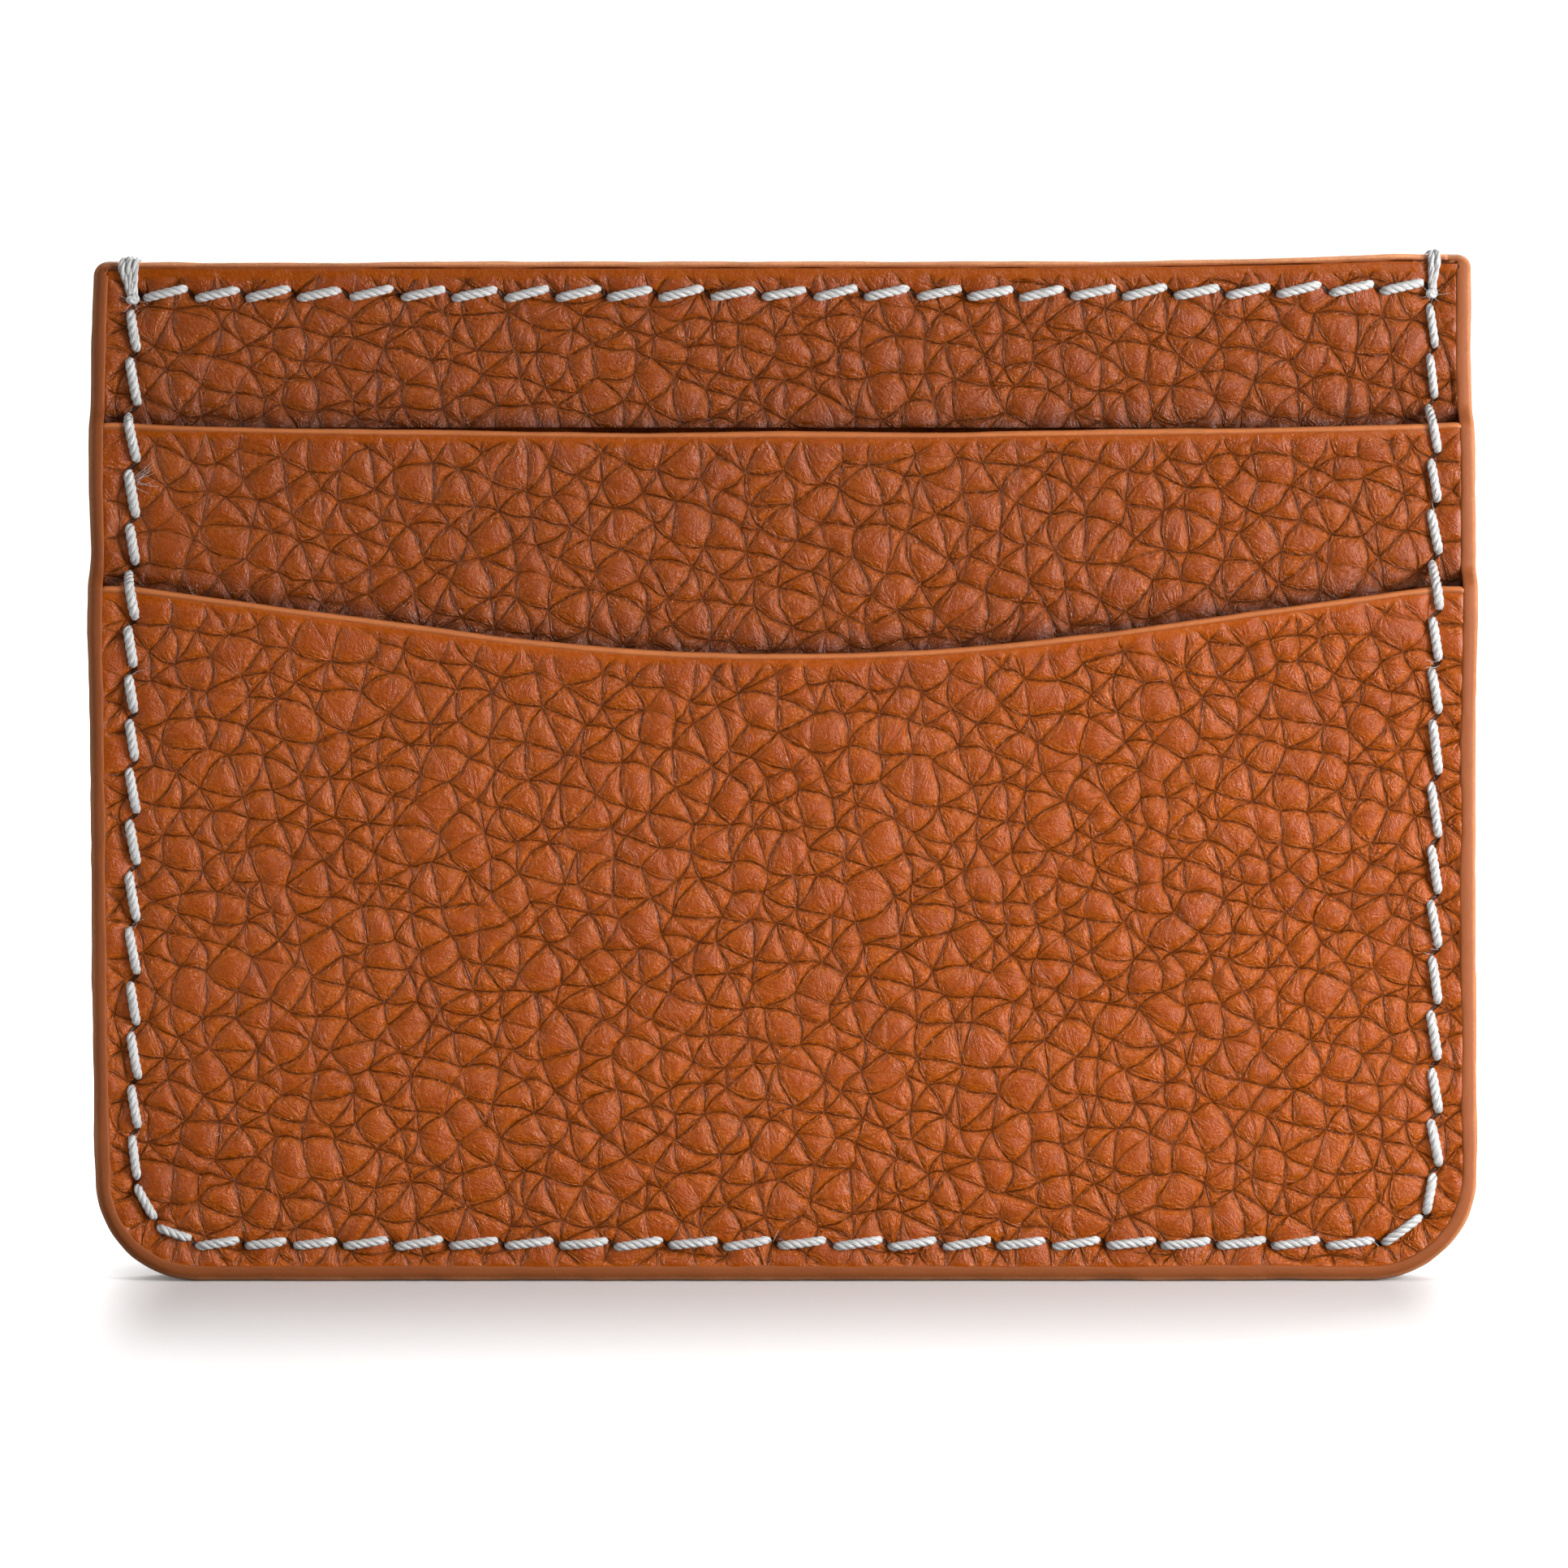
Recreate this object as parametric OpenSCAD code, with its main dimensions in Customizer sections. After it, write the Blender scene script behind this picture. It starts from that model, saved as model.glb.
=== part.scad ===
// Slim stitched leather card holder, standing on its bottom edge.
// X runs across the width, Y from the front face to the back, Z up.
// The origin is the middle of the bottom edge. All sizes are in millimetres.

/* [Body] */
// Overall width, over the coated edges
body_w = 100; // [97:0.5:106]
// Overall height, over the coated edges
body_h = 73.8; // [72:0.2:80]
// Outer radius of the two bottom corners
corner_r = 7.5; // [6:0.25:9]
// Outer radius of the two top corners
top_corner_r = 1; // [0.8:0.1:1.5]

/* [Leather] */
// Thickness of the front pocket leather
pocket_t = 0.7; // [0.6:0.05:1]
// Thickness of the middle pocket leather
middle_t = 0.6; // [0.5:0.05:0.8]
// Thickness of the front and back panel leather
panel_t = 0.8; // [0.7:0.05:1.2]
// Thickness of each lining
lining_t = 0.3; // [0.25:0.05:0.5]

/* [Card spaces] */
// Clear depth of each card space, for a card 0.76 mm thick
card_gap = 0.8; // [0.8:0.05:1.2]
// Width of the filler strips under the seams
filler_w = 4.8; // [4.4:0.1:5]
// Height of the middle pocket's mouth
middle_mouth_z = 62; // [61.6:0.1:62.4]
// Lower edge of the middle pocket's ears
ear_z = 40; // [36:1:44]
// Lower edge of the middle pocket's body
middle_floor_z = 12; // [10:0.5:13]

/* [Front pocket mouth] */
// Height of the mouth at the side seams
mouth_side_z = 50.4; // [50.2:0.1:50.8]
// Depth of the dip, from the side seams to the middle
mouth_dip = 4.9; // [3:0.1:6]
// Radius of the rounded middle of the dip
mouth_r = 170; // [120:5:180]

/* [Edge coat] */
// Thickness of the paint on the outer edges
coat_t = 0.6; // [0.4:0.05:0.8]
// Thickness of the paint on the pocket mouths
mouth_coat_t = 0.4; // [0.3:0.05:0.5]
// Rounding of the coated edges
coat_r = 0.45; // [0.3:0.05:0.6]

/* [Stitching] */
// Distance from the sides to the side seams
seam_in = 3; // [2.8:0.1:3.2]
// Height of the bottom seam
bottom_seam_z = 2.8; // [2.6:0.1:3]
// Height of the decorative row under the top edge
top_row_z = 71.5; // [71.4:0.1:71.6]
// Half the width of the thread where it lies on the leather
thread_r = 0.36; // [0.3:0.02:0.4]
// How far the thread stands above the leather
thread_h = 0.35; // [0.25:0.05:0.5]
// Stitches in the left seam
left_n = 17; // [17:1:17]
// Stitches in the right seam
right_n = 16; // [16:1:16]
// Stitches in the bottom seam
bottom_n = 22; // [20:1:24]
// Stitches in each top row
top_n = 25; // [24:1:26]

/* [Hidden] */
$fn = 48;

// Stations through the thickness, front to back
total_t = pocket_t + middle_t + 2 * panel_t + 2 * lining_t + 3 * card_gap;
y_pocket = -total_t / 2;
y_front_slot = y_pocket + pocket_t;
y_middle = y_front_slot + card_gap;
y_middle_slot = y_middle + middle_t;
y_panel = y_middle_slot + card_gap;
y_lining = y_panel + panel_t;
y_centre = y_lining + lining_t;
y_back_lining = y_centre + card_gap;
y_back_panel = y_back_lining + lining_t;
y_back = y_back_panel + panel_t;

half_w = body_w / 2;
leather_w = body_w - 2 * coat_t;
seam_x = half_w - seam_in;
floor_z = 5.2;
top_z = body_h - mouth_coat_t - 0.1;
mouth_mid_z = mouth_side_z - mouth_dip;
hem_z = middle_floor_z + 2;
hole_r = thread_r + 0.02;
leg_r = thread_r - 0.02;

// Slope of the straight flanks of the mouth, tangent to its rounded middle
flank_a = atan2(seam_x, mouth_r - mouth_dip) - acos(mouth_r / norm([seam_x, mouth_r - mouth_dip]));
flank_x = mouth_r * sin(flank_a);

// Stitch holes as [x, z] points along each row
side_top_z = 70.6;
left_end_z = 7;
right_end_z = 8;
bottom_end_x = 43;
left_side = [for (k = [0:left_n]) [-seam_x, side_top_z - k * (side_top_z - left_end_z) / left_n]];
right_side = [for (k = [right_n:-1:0]) [seam_x, side_top_z - k * (side_top_z - right_end_z) / right_n]];
bottom_row = [for (k = [0:bottom_n]) [-bottom_end_x + k * 2 * bottom_end_x / bottom_n, bottom_seam_z]];
perimeter = concat(left_side, [[-seam_x + 1.5, 4.3]], bottom_row, [[seam_x - 0.6, 4.7]], right_side);
top_end_x = seam_x - 0.4;
top_row = [for (k = [0:top_n]) [-top_end_x + k * 2 * top_end_x / top_n, top_row_z]];
hem_n = 22;
hem_row = [for (k = [0:hem_n]) [-41.8 + k * 3.8, hem_z]];

// Front surface that carries a stitch whose lowest point is at height z
function face_y(z) = z < mouth_side_z ? y_pocket : z < middle_mouth_z ? y_middle : y_panel;
function low(a, b) = min(a[1], b[1]) - thread_r;

// ---- general shapes ----

// Flat outline with rounded corners, from z0 up to z1
module outline(wd, z0, z1, rb, rt) {
    translate([-wd / 2, z0 + rb]) square([wd, z1 - z0 - rb - rt]);
    translate([-wd / 2 + rb, z0]) square([wd - 2 * rb, rb + 1]);
    translate([-wd / 2 + rt, z1 - rt - 1]) square([wd - 2 * rt, rt + 1]);
    for (s = [-1, 1]) {
        translate([s * (wd / 2 - rb), z0 + rb]) circle(r = rb);
        translate([s * (wd / 2 - rt), z1 - rt]) circle(r = rt);
    }
}

// Upright plate from the flat outline in its children, between two stations
module plate(y0, y1) {
    translate([0, y1, 0]) rotate([90, 0, 0]) linear_extrude(height = y1 - y0) children();
}

module box(x0, x1, y0, y1, z0, z1) {
    translate([x0, y0, z0]) cube([x1 - x0, y1 - y0, z1 - z0]);
}

module leather_outline(z1, rt) {
    outline(leather_w, coat_t, z1, corner_r - coat_t, rt);
}

// Everything above the front pocket's mouth, lowered by d
module above_mouth(d) {
    translate([0, mouth_mid_z + mouth_r - d]) intersection() {
        circle(r = mouth_r, $fn = 180);
        translate([-flank_x, -mouth_r - 1]) square([2 * flank_x, 40]);
    }
    for (s = [-1, 1]) {
        zf = mouth_mid_z + mouth_r * (1 - cos(flank_a)) - d;
        polygon([[s * (flank_x - 0.5), zf - 0.5 * tan(flank_a)], [s * seam_x, mouth_side_z - d],
                 [s * (half_w + 1), mouth_side_z - d], [s * (half_w + 1), 90], [s * (flank_x - 0.5), 90]]);
    }
    translate([-flank_x, mouth_mid_z + 20]) square([2 * flank_x, 60]);
}

// Rows of needle holes bored through y0 to y1
module bores(points, y0, y1, z0 = 0, z1 = 100) {
    for (p = points) if (p[1] > z0 && p[1] < z1)
        translate([p[0], y1 + 0.2, p[1]]) rotate([90, 0, 0]) cylinder(r = hole_r, h = y1 - y0 + 0.4, $fn = 24);
}

// Flat run of thread between holes a and b, leaning by the slant angle
module stroke(a, b, y0, y1, slant, grow = 0) {
    run = norm(b - a) - 2 * thread_r - 0.1;
    ang = atan2(b[1] - a[1], b[0] - a[0]) + slant;
    translate([(a[0] + b[0]) / 2, y1, (a[1] + b[1]) / 2]) rotate([90, 0, 0]) rotate([0, 0, ang])
        linear_extrude(height = y1 - y0) {
            square([run, 2 * (thread_r + grow)], center = true);
            for (s = [-1, 1]) translate([s * run / 2, 0]) circle(r = thread_r + grow, $fn = 24);
        }
}

// Part of a thread inside a needle hole
module leg(p, y0, y1) {
    translate([p[0], y1, p[1]]) rotate([90, 0, 0]) cylinder(r = leg_r, h = y1 - y0, $fn = 24);
}

// Three separate filler strips in one card space: left, right and bottom
module filler_strips(y0, y1, z_top) {
    intersection() {
        plate(y0, y1) leather_outline(z_top, 0.5);
        for (s = [-1, 1]) box(s < 0 ? -half_w : half_w - coat_t - filler_w, s < 0 ? -half_w + coat_t + filler_w : half_w,
                              y0 - 1, y1 + 1, 0, 90);
    }
    intersection() {
        plate(y0, y1) leather_outline(z_top, 0.5);
        box(-half_w + coat_t + filler_w + 0.2, half_w - coat_t - filler_w - 0.2, y0 - 1, y1 + 1, 0, floor_z);
    }
}

// Rounded cross-section of a coated edge: flat inner side at 0, outer side at t
module coat_section(y0, y1, t) {
    r = min(coat_r, t - 0.05);
    translate([0, y0]) square([t - r, y1 - y0]);
    translate([0, y0 + r]) square([t, y1 - y0 - 2 * r]);
    for (y = [y0 + r, y1 - r]) translate([t - r, y]) circle(r = r, $fn = 24);
}

// One side's coat, stepped back above each pocket mouth
module side_coat(s) {
    intersection() {
        union() {
            for (c = [[corner_r, mouth_side_z, y_pocket], [mouth_side_z, middle_mouth_z, y_middle],
                      [middle_mouth_z, body_h, y_panel]])
                translate([s * (half_w - coat_t), 0, c[0]]) mirror([s < 0 ? 1 : 0, 0, 0])
                    linear_extrude(height = c[1] - c[0]) coat_section(c[2], y_back, coat_t);
        }
        plate(y_pocket - 1, y_back + 1) outline(body_w, 0, body_h, corner_r, top_corner_r);
    }
}

// Coat along a straight top edge
module top_coat(y0, y1) {
    translate([-leather_w / 2, 0, top_z]) rotate([90, 0, 90])
        linear_extrude(height = leather_w) rotate([0, 0, 90]) mirror([0, 1, 0])
            coat_section(y0, y1, body_h - top_z);
}

// Thread carried over the top edge at the end of a side seam
module corner_wrap(s) {
    x = s * (seam_x + 0.5);
    half = 0.45;
    union() {
        box(x - half, x + half, y_panel - thread_h, y_panel, 71.3, body_h + thread_h);
        box(x - half, x + half, y_panel - thread_h, y_back + thread_h, body_h, body_h + thread_h);
        box(x - half, x + half, y_back, y_back + thread_h, 71.3, body_h + thread_h);
        translate([x, y_panel, 71.3]) rotate([90, 0, 0]) cylinder(r = half, h = thread_h, $fn = 24);
        translate([x, y_back + thread_h, 71.3]) rotate([90, 0, 0]) cylinder(r = half, h = thread_h, $fn = 24);
    }
}

// Row sewn through one panel and its lining, its inner runs lying flush in the lining
module panel_row(points, y_out0, y_out1, y_in0, y_in1, slant) {
    n = len(points);
    for (k = [0:n - 2]) {
        stroke(points[k], points[k + 1], y_out0, y_out1, slant);
        stroke(points[k], points[k + 1], y_in0, y_in1, -slant);
    }
    for (p = points) leg(p, min(y_out0, y_in0) + 0.1, max(y_out1, y_in1) - 0.1);
}

module row_slots(points, y0, y1, slant) {
    n = len(points);
    for (k = [0:n - 2]) stroke(points[k], points[k + 1], y0, y1, slant, 0.02);
}

// ---- leather pieces ----

module front_pocket() color([0.62, 0.29, 0.12]) difference() {
    plate(y_pocket, y_front_slot) difference() {
        leather_outline(mouth_side_z + 1, 0.5);
        above_mouth(mouth_coat_t);
    }
    bores(perimeter, y_pocket, y_front_slot, 0, mouth_side_z);
}

module middle_pocket() color([0.58, 0.28, 0.13]) difference() {
    plate(y_middle, y_middle_slot) {
        translate([-leather_w / 2, ear_z]) square([leather_w, middle_mouth_z - mouth_coat_t - ear_z]);
        translate([-44, middle_floor_z]) square([88, ear_z - middle_floor_z + 1]);
    }
    bores(perimeter, y_middle, y_middle_slot, ear_z, middle_mouth_z);
    bores(hem_row, y_middle, y_middle_slot);
    row_slots(hem_row, y_middle - 1, y_middle + 0.25, 8);
}

module front_panel() color([0.57, 0.27, 0.12]) difference() {
    plate(y_panel, y_lining) leather_outline(top_z, 0.5);
    bores(perimeter, y_panel, y_lining);
    bores(top_row, y_panel, y_lining);
    bores(hem_row, y_panel, y_lining);
}

module front_lining() color([0.63, 0.44, 0.3]) difference() {
    plate(y_lining, y_centre) leather_outline(top_z, 0.5);
    bores(perimeter, y_lining, y_centre);
    bores(top_row, y_lining, y_centre);
    bores(hem_row, y_lining, y_centre);
    row_slots(top_row, y_lining - 0.2, y_centre + 0.2, -12);
    row_slots(hem_row, y_lining - 0.2, y_centre + 0.2, -8);
}

module back_lining() color([0.63, 0.44, 0.3]) difference() {
    plate(y_back_lining, y_back_panel) leather_outline(top_z, 0.5);
    bores(perimeter, y_back_lining, y_back_panel);
    bores(top_row, y_back_lining, y_back_panel);
    row_slots(top_row, y_back_lining - 0.2, y_back_panel + 0.2, 12);
}

module back_panel() color([0.6, 0.28, 0.12]) difference() {
    plate(y_back_panel, y_back) leather_outline(top_z, 0.5);
    bores(perimeter, y_back_panel, y_back);
    bores(top_row, y_back_panel, y_back);
}

// ---- filler strips under the seams ----

module front_slot_fillers() color([0.5, 0.33, 0.2]) difference() {
    filler_strips(y_front_slot, y_middle, mouth_side_z - mouth_coat_t);
    bores(perimeter, y_front_slot, y_middle, 0, mouth_side_z);
}

module ear_level_fillers() color([0.5, 0.33, 0.2]) difference() {
    filler_strips(y_middle, y_middle_slot, ear_z - 0.1);
    bores(perimeter, y_middle, y_middle_slot, 0, ear_z);
}

module middle_slot_fillers() color([0.5, 0.33, 0.2]) difference() {
    union() {
        filler_strips(y_middle_slot, y_panel, middle_mouth_z - mouth_coat_t);
        box(-44, 44, y_middle_slot, y_panel, middle_floor_z, middle_floor_z + 4);
    }
    bores(perimeter, y_middle_slot, y_panel, 0, middle_mouth_z);
    bores(hem_row, y_middle_slot, y_panel);
}

module centre_pocket_fillers() color([0.5, 0.33, 0.2]) difference() {
    filler_strips(y_centre, y_back_lining, top_z);
    bores(perimeter, y_centre, y_back_lining);
}

// ---- painted edges ----

module front_pocket_mouth_coat() color([0.74, 0.42, 0.24])
    plate(y_pocket, y_front_slot) intersection() {
        difference() {
            above_mouth(mouth_coat_t);
            above_mouth(0);
        }
        translate([-leather_w / 2, 0]) square([leather_w, 70]);
    }

module middle_pocket_mouth_coat() color([0.74, 0.42, 0.24])
    box(-leather_w / 2, leather_w / 2, y_middle, y_middle_slot, middle_mouth_z - mouth_coat_t, middle_mouth_z);

module front_panel_top_coat() color([0.8, 0.5, 0.32]) top_coat(y_panel, y_centre);

module back_panel_top_coat() color([0.8, 0.5, 0.32]) top_coat(y_back_lining, y_back);

module left_edge_coat() color([0.72, 0.44, 0.28]) side_coat(-1);

module right_edge_coat() color([0.72, 0.44, 0.28]) side_coat(1);

module bottom_edge_coat() color([0.66, 0.38, 0.24]) union() {
    translate([-half_w + corner_r, 0, coat_t]) rotate([90, 0, 90]) linear_extrude(height = body_w - 2 * corner_r)
        rotate([0, 0, -90]) coat_section(y_pocket, y_back, coat_t);
    for (s = [-1, 1]) translate([s * (half_w - corner_r), 0, corner_r]) mirror([s < 0 ? 1 : 0, 0, 0])
        rotate([90, 0, 0]) rotate([0, 0, -90]) rotate_extrude(angle = 90, $fn = 96)
            translate([corner_r - coat_t, 0]) mirror([0, 1, 0]) coat_section(y_pocket, y_back, coat_t);
}

// ---- threads ----

module perimeter_seam_thread() color([0.86, 0.85, 0.82]) {
    n = len(perimeter);
    union() {
        for (k = [0:n - 2]) {
            a = perimeter[k];
            b = perimeter[k + 1];
            lean = (k < left_n || k > n - 2 - right_n) ? -9 : (k == left_n || k > left_n + bottom_n) ? 0 : 8;
            yf = face_y(low(a, b));
            stroke(a, b, yf - thread_h, yf, lean);
            stroke(a, b, y_back, y_back + thread_h, -lean);
        }
        for (k = [0:n - 1]) {
            above = face_y(low(perimeter[k], perimeter[max(k - 1, 0)]));
            below = face_y(low(perimeter[k], perimeter[min(k + 1, n - 1)]));
            leg(perimeter[k], min(above, below) - thread_h + 0.1, y_back + thread_h - 0.1);
        }
    }
}

module front_top_row_thread() color([0.88, 0.87, 0.84])
    panel_row(top_row, y_panel - thread_h, y_panel, y_lining, y_centre, 12);

module back_top_row_thread() color([0.88, 0.87, 0.84])
    panel_row(top_row, y_back, y_back + thread_h, y_back_lining, y_back_panel, -12);

module middle_pocket_hem_thread() color([0.86, 0.85, 0.82])
    panel_row(hem_row, y_middle, y_middle + 0.25, y_lining, y_centre, 8);

module left_corner_wrap() color([0.86, 0.85, 0.82]) corner_wrap(-1);

module right_corner_wrap() color([0.86, 0.85, 0.82]) corner_wrap(1);

front_pocket();
middle_pocket();
front_panel();
front_lining();
back_lining();
back_panel();
front_slot_fillers();
ear_level_fillers();
middle_slot_fillers();
centre_pocket_fillers();
front_pocket_mouth_coat();
middle_pocket_mouth_coat();
front_panel_top_coat();
back_panel_top_coat();
left_edge_coat();
right_edge_coat();
bottom_edge_coat();
perimeter_seam_thread();
front_top_row_thread();
back_top_row_thread();
middle_pocket_hem_thread();
left_corner_wrap();
right_corner_wrap();
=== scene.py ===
import math
import bpy
import numpy as np
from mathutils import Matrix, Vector
from mathutils.geometry import delaunay_2d_cdt


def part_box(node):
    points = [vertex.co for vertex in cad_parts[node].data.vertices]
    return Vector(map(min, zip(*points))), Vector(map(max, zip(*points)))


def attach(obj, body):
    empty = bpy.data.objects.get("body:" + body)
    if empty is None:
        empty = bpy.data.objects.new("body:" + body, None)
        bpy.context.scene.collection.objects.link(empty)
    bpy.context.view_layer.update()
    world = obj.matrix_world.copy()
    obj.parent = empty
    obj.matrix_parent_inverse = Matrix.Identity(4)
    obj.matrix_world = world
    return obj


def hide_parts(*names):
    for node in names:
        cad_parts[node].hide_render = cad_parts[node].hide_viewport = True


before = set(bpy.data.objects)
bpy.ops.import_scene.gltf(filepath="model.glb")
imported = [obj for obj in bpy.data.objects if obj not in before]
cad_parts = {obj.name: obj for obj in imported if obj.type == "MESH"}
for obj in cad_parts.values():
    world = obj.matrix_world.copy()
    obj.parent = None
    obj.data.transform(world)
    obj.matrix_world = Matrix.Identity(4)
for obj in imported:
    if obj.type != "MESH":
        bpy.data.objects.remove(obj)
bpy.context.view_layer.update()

MM = 0.001
scene = bpy.context.scene
scene.view_settings.view_transform = "Standard"
scene.view_settings.look = "None"


# ------------------------------------------------------------------ places from the frame, in millimetres
def cad(name):
    lo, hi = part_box(name)
    return np.array(lo) / MM, np.array(hi) / MM


lo_fp, hi_fp = cad("front_pocket")
lo_mp, hi_mp = cad("middle_pocket")
lo_pn, hi_pn = cad("front_panel")
lo_fl, hi_fl = cad("front_lining")
lo_bl, hi_bl = cad("back_lining")
lo_bp, hi_bp = cad("back_panel")
lo_fm, hi_fm = cad("front_pocket_mouth_coat")
lo_mm, hi_mm = cad("middle_pocket_mouth_coat")
lo_le, hi_le = cad("left_edge_coat")
lo_re, hi_re = cad("right_edge_coat")
lo_be, hi_be = cad("bottom_edge_coat")
lo_tc, hi_tc = cad("front_panel_top_coat")
lo_st, hi_st = cad("perimeter_seam_thread")
lo_tr, hi_tr = cad("front_top_row_thread")

HALF = hi_re[0]                      # outer half width
TOP = hi_tc[2]                       # outer top
Y_FP, Y_MP, Y_PN, Y_BK = lo_fp[1], lo_mp[1], lo_pn[1], hi_bp[1]
COAT = HALF - hi_fp[0]               # coat thickness at the sides
CORNER = hi_be[2]                    # bottom corner radius
MOUTH_Z = hi_fm[2]                   # front mouth height at the sides
MOUTH_LOW = lo_fm[2] + (hi_mm[2] - lo_mm[2])   # front mouth height in the middle
MID_Z = hi_mm[2]                     # middle mouth height
SEAM_X = HALF - 3.0
ROW_Z = 0.5 * (lo_tr[2] + hi_tr[2])


# ------------------------------------------------------------------ small numeric helpers
def smooth(x, a, b):
    t = np.clip((np.asarray(x, float) - a) / (b - a), 0, 1)
    return t * t * (3 - 2 * t)


def hash2(i, j, seed):
    n = (i.astype(np.int64) * 374761393 + j.astype(np.int64) * 668265263 + seed * 69069) & 0x7FFFFFFF
    n = ((n ^ (n >> 13)) * 1274126177) & 0x7FFFFFFF
    n = (n ^ (n >> 16)) & 0xFFFF
    return n / 32767.5 - 1.0


def vnoise(x, y, seed=0):
    """Smooth noise between -1 and 1 with features one unit across."""
    x, y = np.broadcast_arrays(np.asarray(x, float), np.asarray(y, float))
    xi, yi = np.floor(x), np.floor(y)
    fx, fy = x - xi, y - yi
    u = fx * fx * fx * (fx * (fx * 6 - 15) + 10)
    v = fy * fy * fy * (fy * (fy * 6 - 15) + 10)
    a = hash2(xi, yi, seed) * (1 - u) + hash2(xi + 1, yi, seed) * u
    b = hash2(xi, yi + 1, seed) * (1 - u) + hash2(xi + 1, yi + 1, seed) * u
    return a * (1 - v) + b * v


def body_distance(p):
    """Distance inwards from the holder's rounded outline, without its top edge."""
    ax, z = np.abs(p[:, 0]), p[:, 1]
    q, w = ax - (HALF - CORNER), CORNER - z
    return np.where((q > 0) & (w > 0), CORNER - np.hypot(q, w), np.minimum(HALF - ax, z))


def poly_distance(p, line):
    """Distance from points p to a polyline."""
    best = np.full(len(p), 1e9)
    for a, b in zip(line[:-1], line[1:]):
        ab = b - a
        u = np.clip(((p - a) @ ab) / max(ab @ ab, 1e-12), 0, 1)
        best = np.minimum(best, np.hypot(*(p - a - u[:, None] * ab).T))
    return best


# ------------------------------------------------------------------ outline, mouths and seams of the holder
DIP = MOUTH_Z - MOUTH_LOW
MOUTH_R = 170.0
FLANK = math.atan2(SEAM_X, MOUTH_R - DIP) - math.acos(MOUTH_R / math.hypot(SEAM_X, MOUTH_R - DIP))


def mouth_z(x):
    """Height of the front pocket's mouth."""
    ax = np.abs(np.asarray(x, float))
    fx = MOUTH_R * math.sin(FLANK)
    arc = MOUTH_LOW + MOUTH_R - np.sqrt(np.maximum(MOUTH_R**2 - np.minimum(ax, fx) ** 2, 0))
    z = arc + np.maximum(ax - fx, 0) * math.tan(FLANK)
    return np.minimum(z, MOUTH_Z) + 0.05 * vnoise(np.asarray(x, float) / 9, 0.3, 5)


def mid_z(x):
    """Height of the middle pocket's mouth: nearly straight, with a slight sag."""
    x = np.asarray(x, float)
    return MID_Z + 0.2 - 0.75 * np.clip(1 - (x / 48) ** 2, 0, 1) ** 0.8 + 0.05 * vnoise(x / 11, 0.7, 8)


def wear(p):
    """Slight hand-made unevenness of the whole outline, applied to every piece."""
    x, z = p[:, 0], p[:, 2]
    zl = np.interp(z, [0, 8, 17, 23, 40, 47, 53, 58, 68, 74], [-0.05, 0.05, -0.1, -0.12, -0.2, -0.36, -0.22, -0.32, -0.22, 0.05])
    zr = np.interp(z, [0, 6, 10, 25, 39, 48, 60, 67, 74], [0.1, 0.2, 0.25, 0.08, 0.0, 0.15, -0.02, -0.25, -0.25])
    u = np.clip((x + HALF) / (2 * HALF), 0, 1)
    edge = smooth(np.abs(x), HALF - 4.5, HALF - 0.8)
    q = p.copy()
    q[:, 0] += (zl * (1 - u) + zr * u) * edge
    rise = np.interp(x, [-50, 20, 30, 38, 44, 50], [-0.05, 0.0, 0.12, 0.28, 0.5, 0.5])
    q[:, 2] += rise * smooth(z, MID_Z + 2, TOP)
    return q


def seam_holes():
    # hand sewn: the pitch drifts along both sides and tightens into the left bottom corner
    zl = (70.6, 67.1, 63.1, 59.0, 55.1, 51.7, 47.7, 44.2, 41.0, 37.5, 33.7, 30.0, 26.0, 22.0, 18.4, 14.5, 10.9, 7.2)
    zr = (70.6, 67.2, 63.7, 59.8, 56.1, 52.4, 48.4, 44.7, 40.9, 36.5, 31.9, 27.9, 23.9, 19.9, 15.8, 12.0, 8.1)
    left = [(-SEAM_X, z) for z in zl]
    right = [(SEAM_X, z) for z in zr[::-1]]
    bottom = [(x, 2.8) for x in (-42.8, -39.2, -35.8, -32.25)] + [(-28.45 + k * 71.45 / 18, 2.8) for k in range(19)]
    return np.array(left + [(-SEAM_X + 1.5, 4.3)] + bottom + [(SEAM_X - 0.6, 4.7)] + right)


HOLES = seam_holes()
ROW = np.array([(-(SEAM_X - 0.4) + k * 2 * (SEAM_X - 0.4) / 25, ROW_Z) for k in range(26)])


def seam_coords(p, holes):
    """(position along the seam in stitches, signed distance across it, positive inwards or upwards)."""
    best = np.full(len(p), 1e9)
    s = np.zeros(len(p))
    t = np.full(len(p), 9.0)
    for k, (a, b) in enumerate(zip(holes[:-1], holes[1:])):
        d = b - a
        n = np.hypot(*d)
        d = d / n
        u = (p - a) @ d
        v = (p - a) @ np.array([-d[1], d[0]])
        uc = u if k == 0 else np.maximum(u, 0)
        uc = uc if k == len(holes) - 2 else np.minimum(uc, n)
        if k == 0:
            uc = np.minimum(np.maximum(u, -2.0), n)
        if k == len(holes) - 2:
            uc = np.maximum(np.minimum(u, n + 2.0), 0)
        dist = np.hypot(u - uc, v)
        hit = dist < best - 1e-9
        best[hit] = dist[hit]
        s[hit] = k + uc[hit] / n
        t[hit] = np.where(v >= 0, dist, -dist)[hit]
    return s, t


def seam_press(p, holes, depth=0.17):
    s, t = seam_coords(p, holes)
    pull = 1 + 0.35 * np.cos(2 * np.pi * s)
    return depth * np.exp(-((t / 0.95) ** 2)) * pull, s, t


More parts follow.
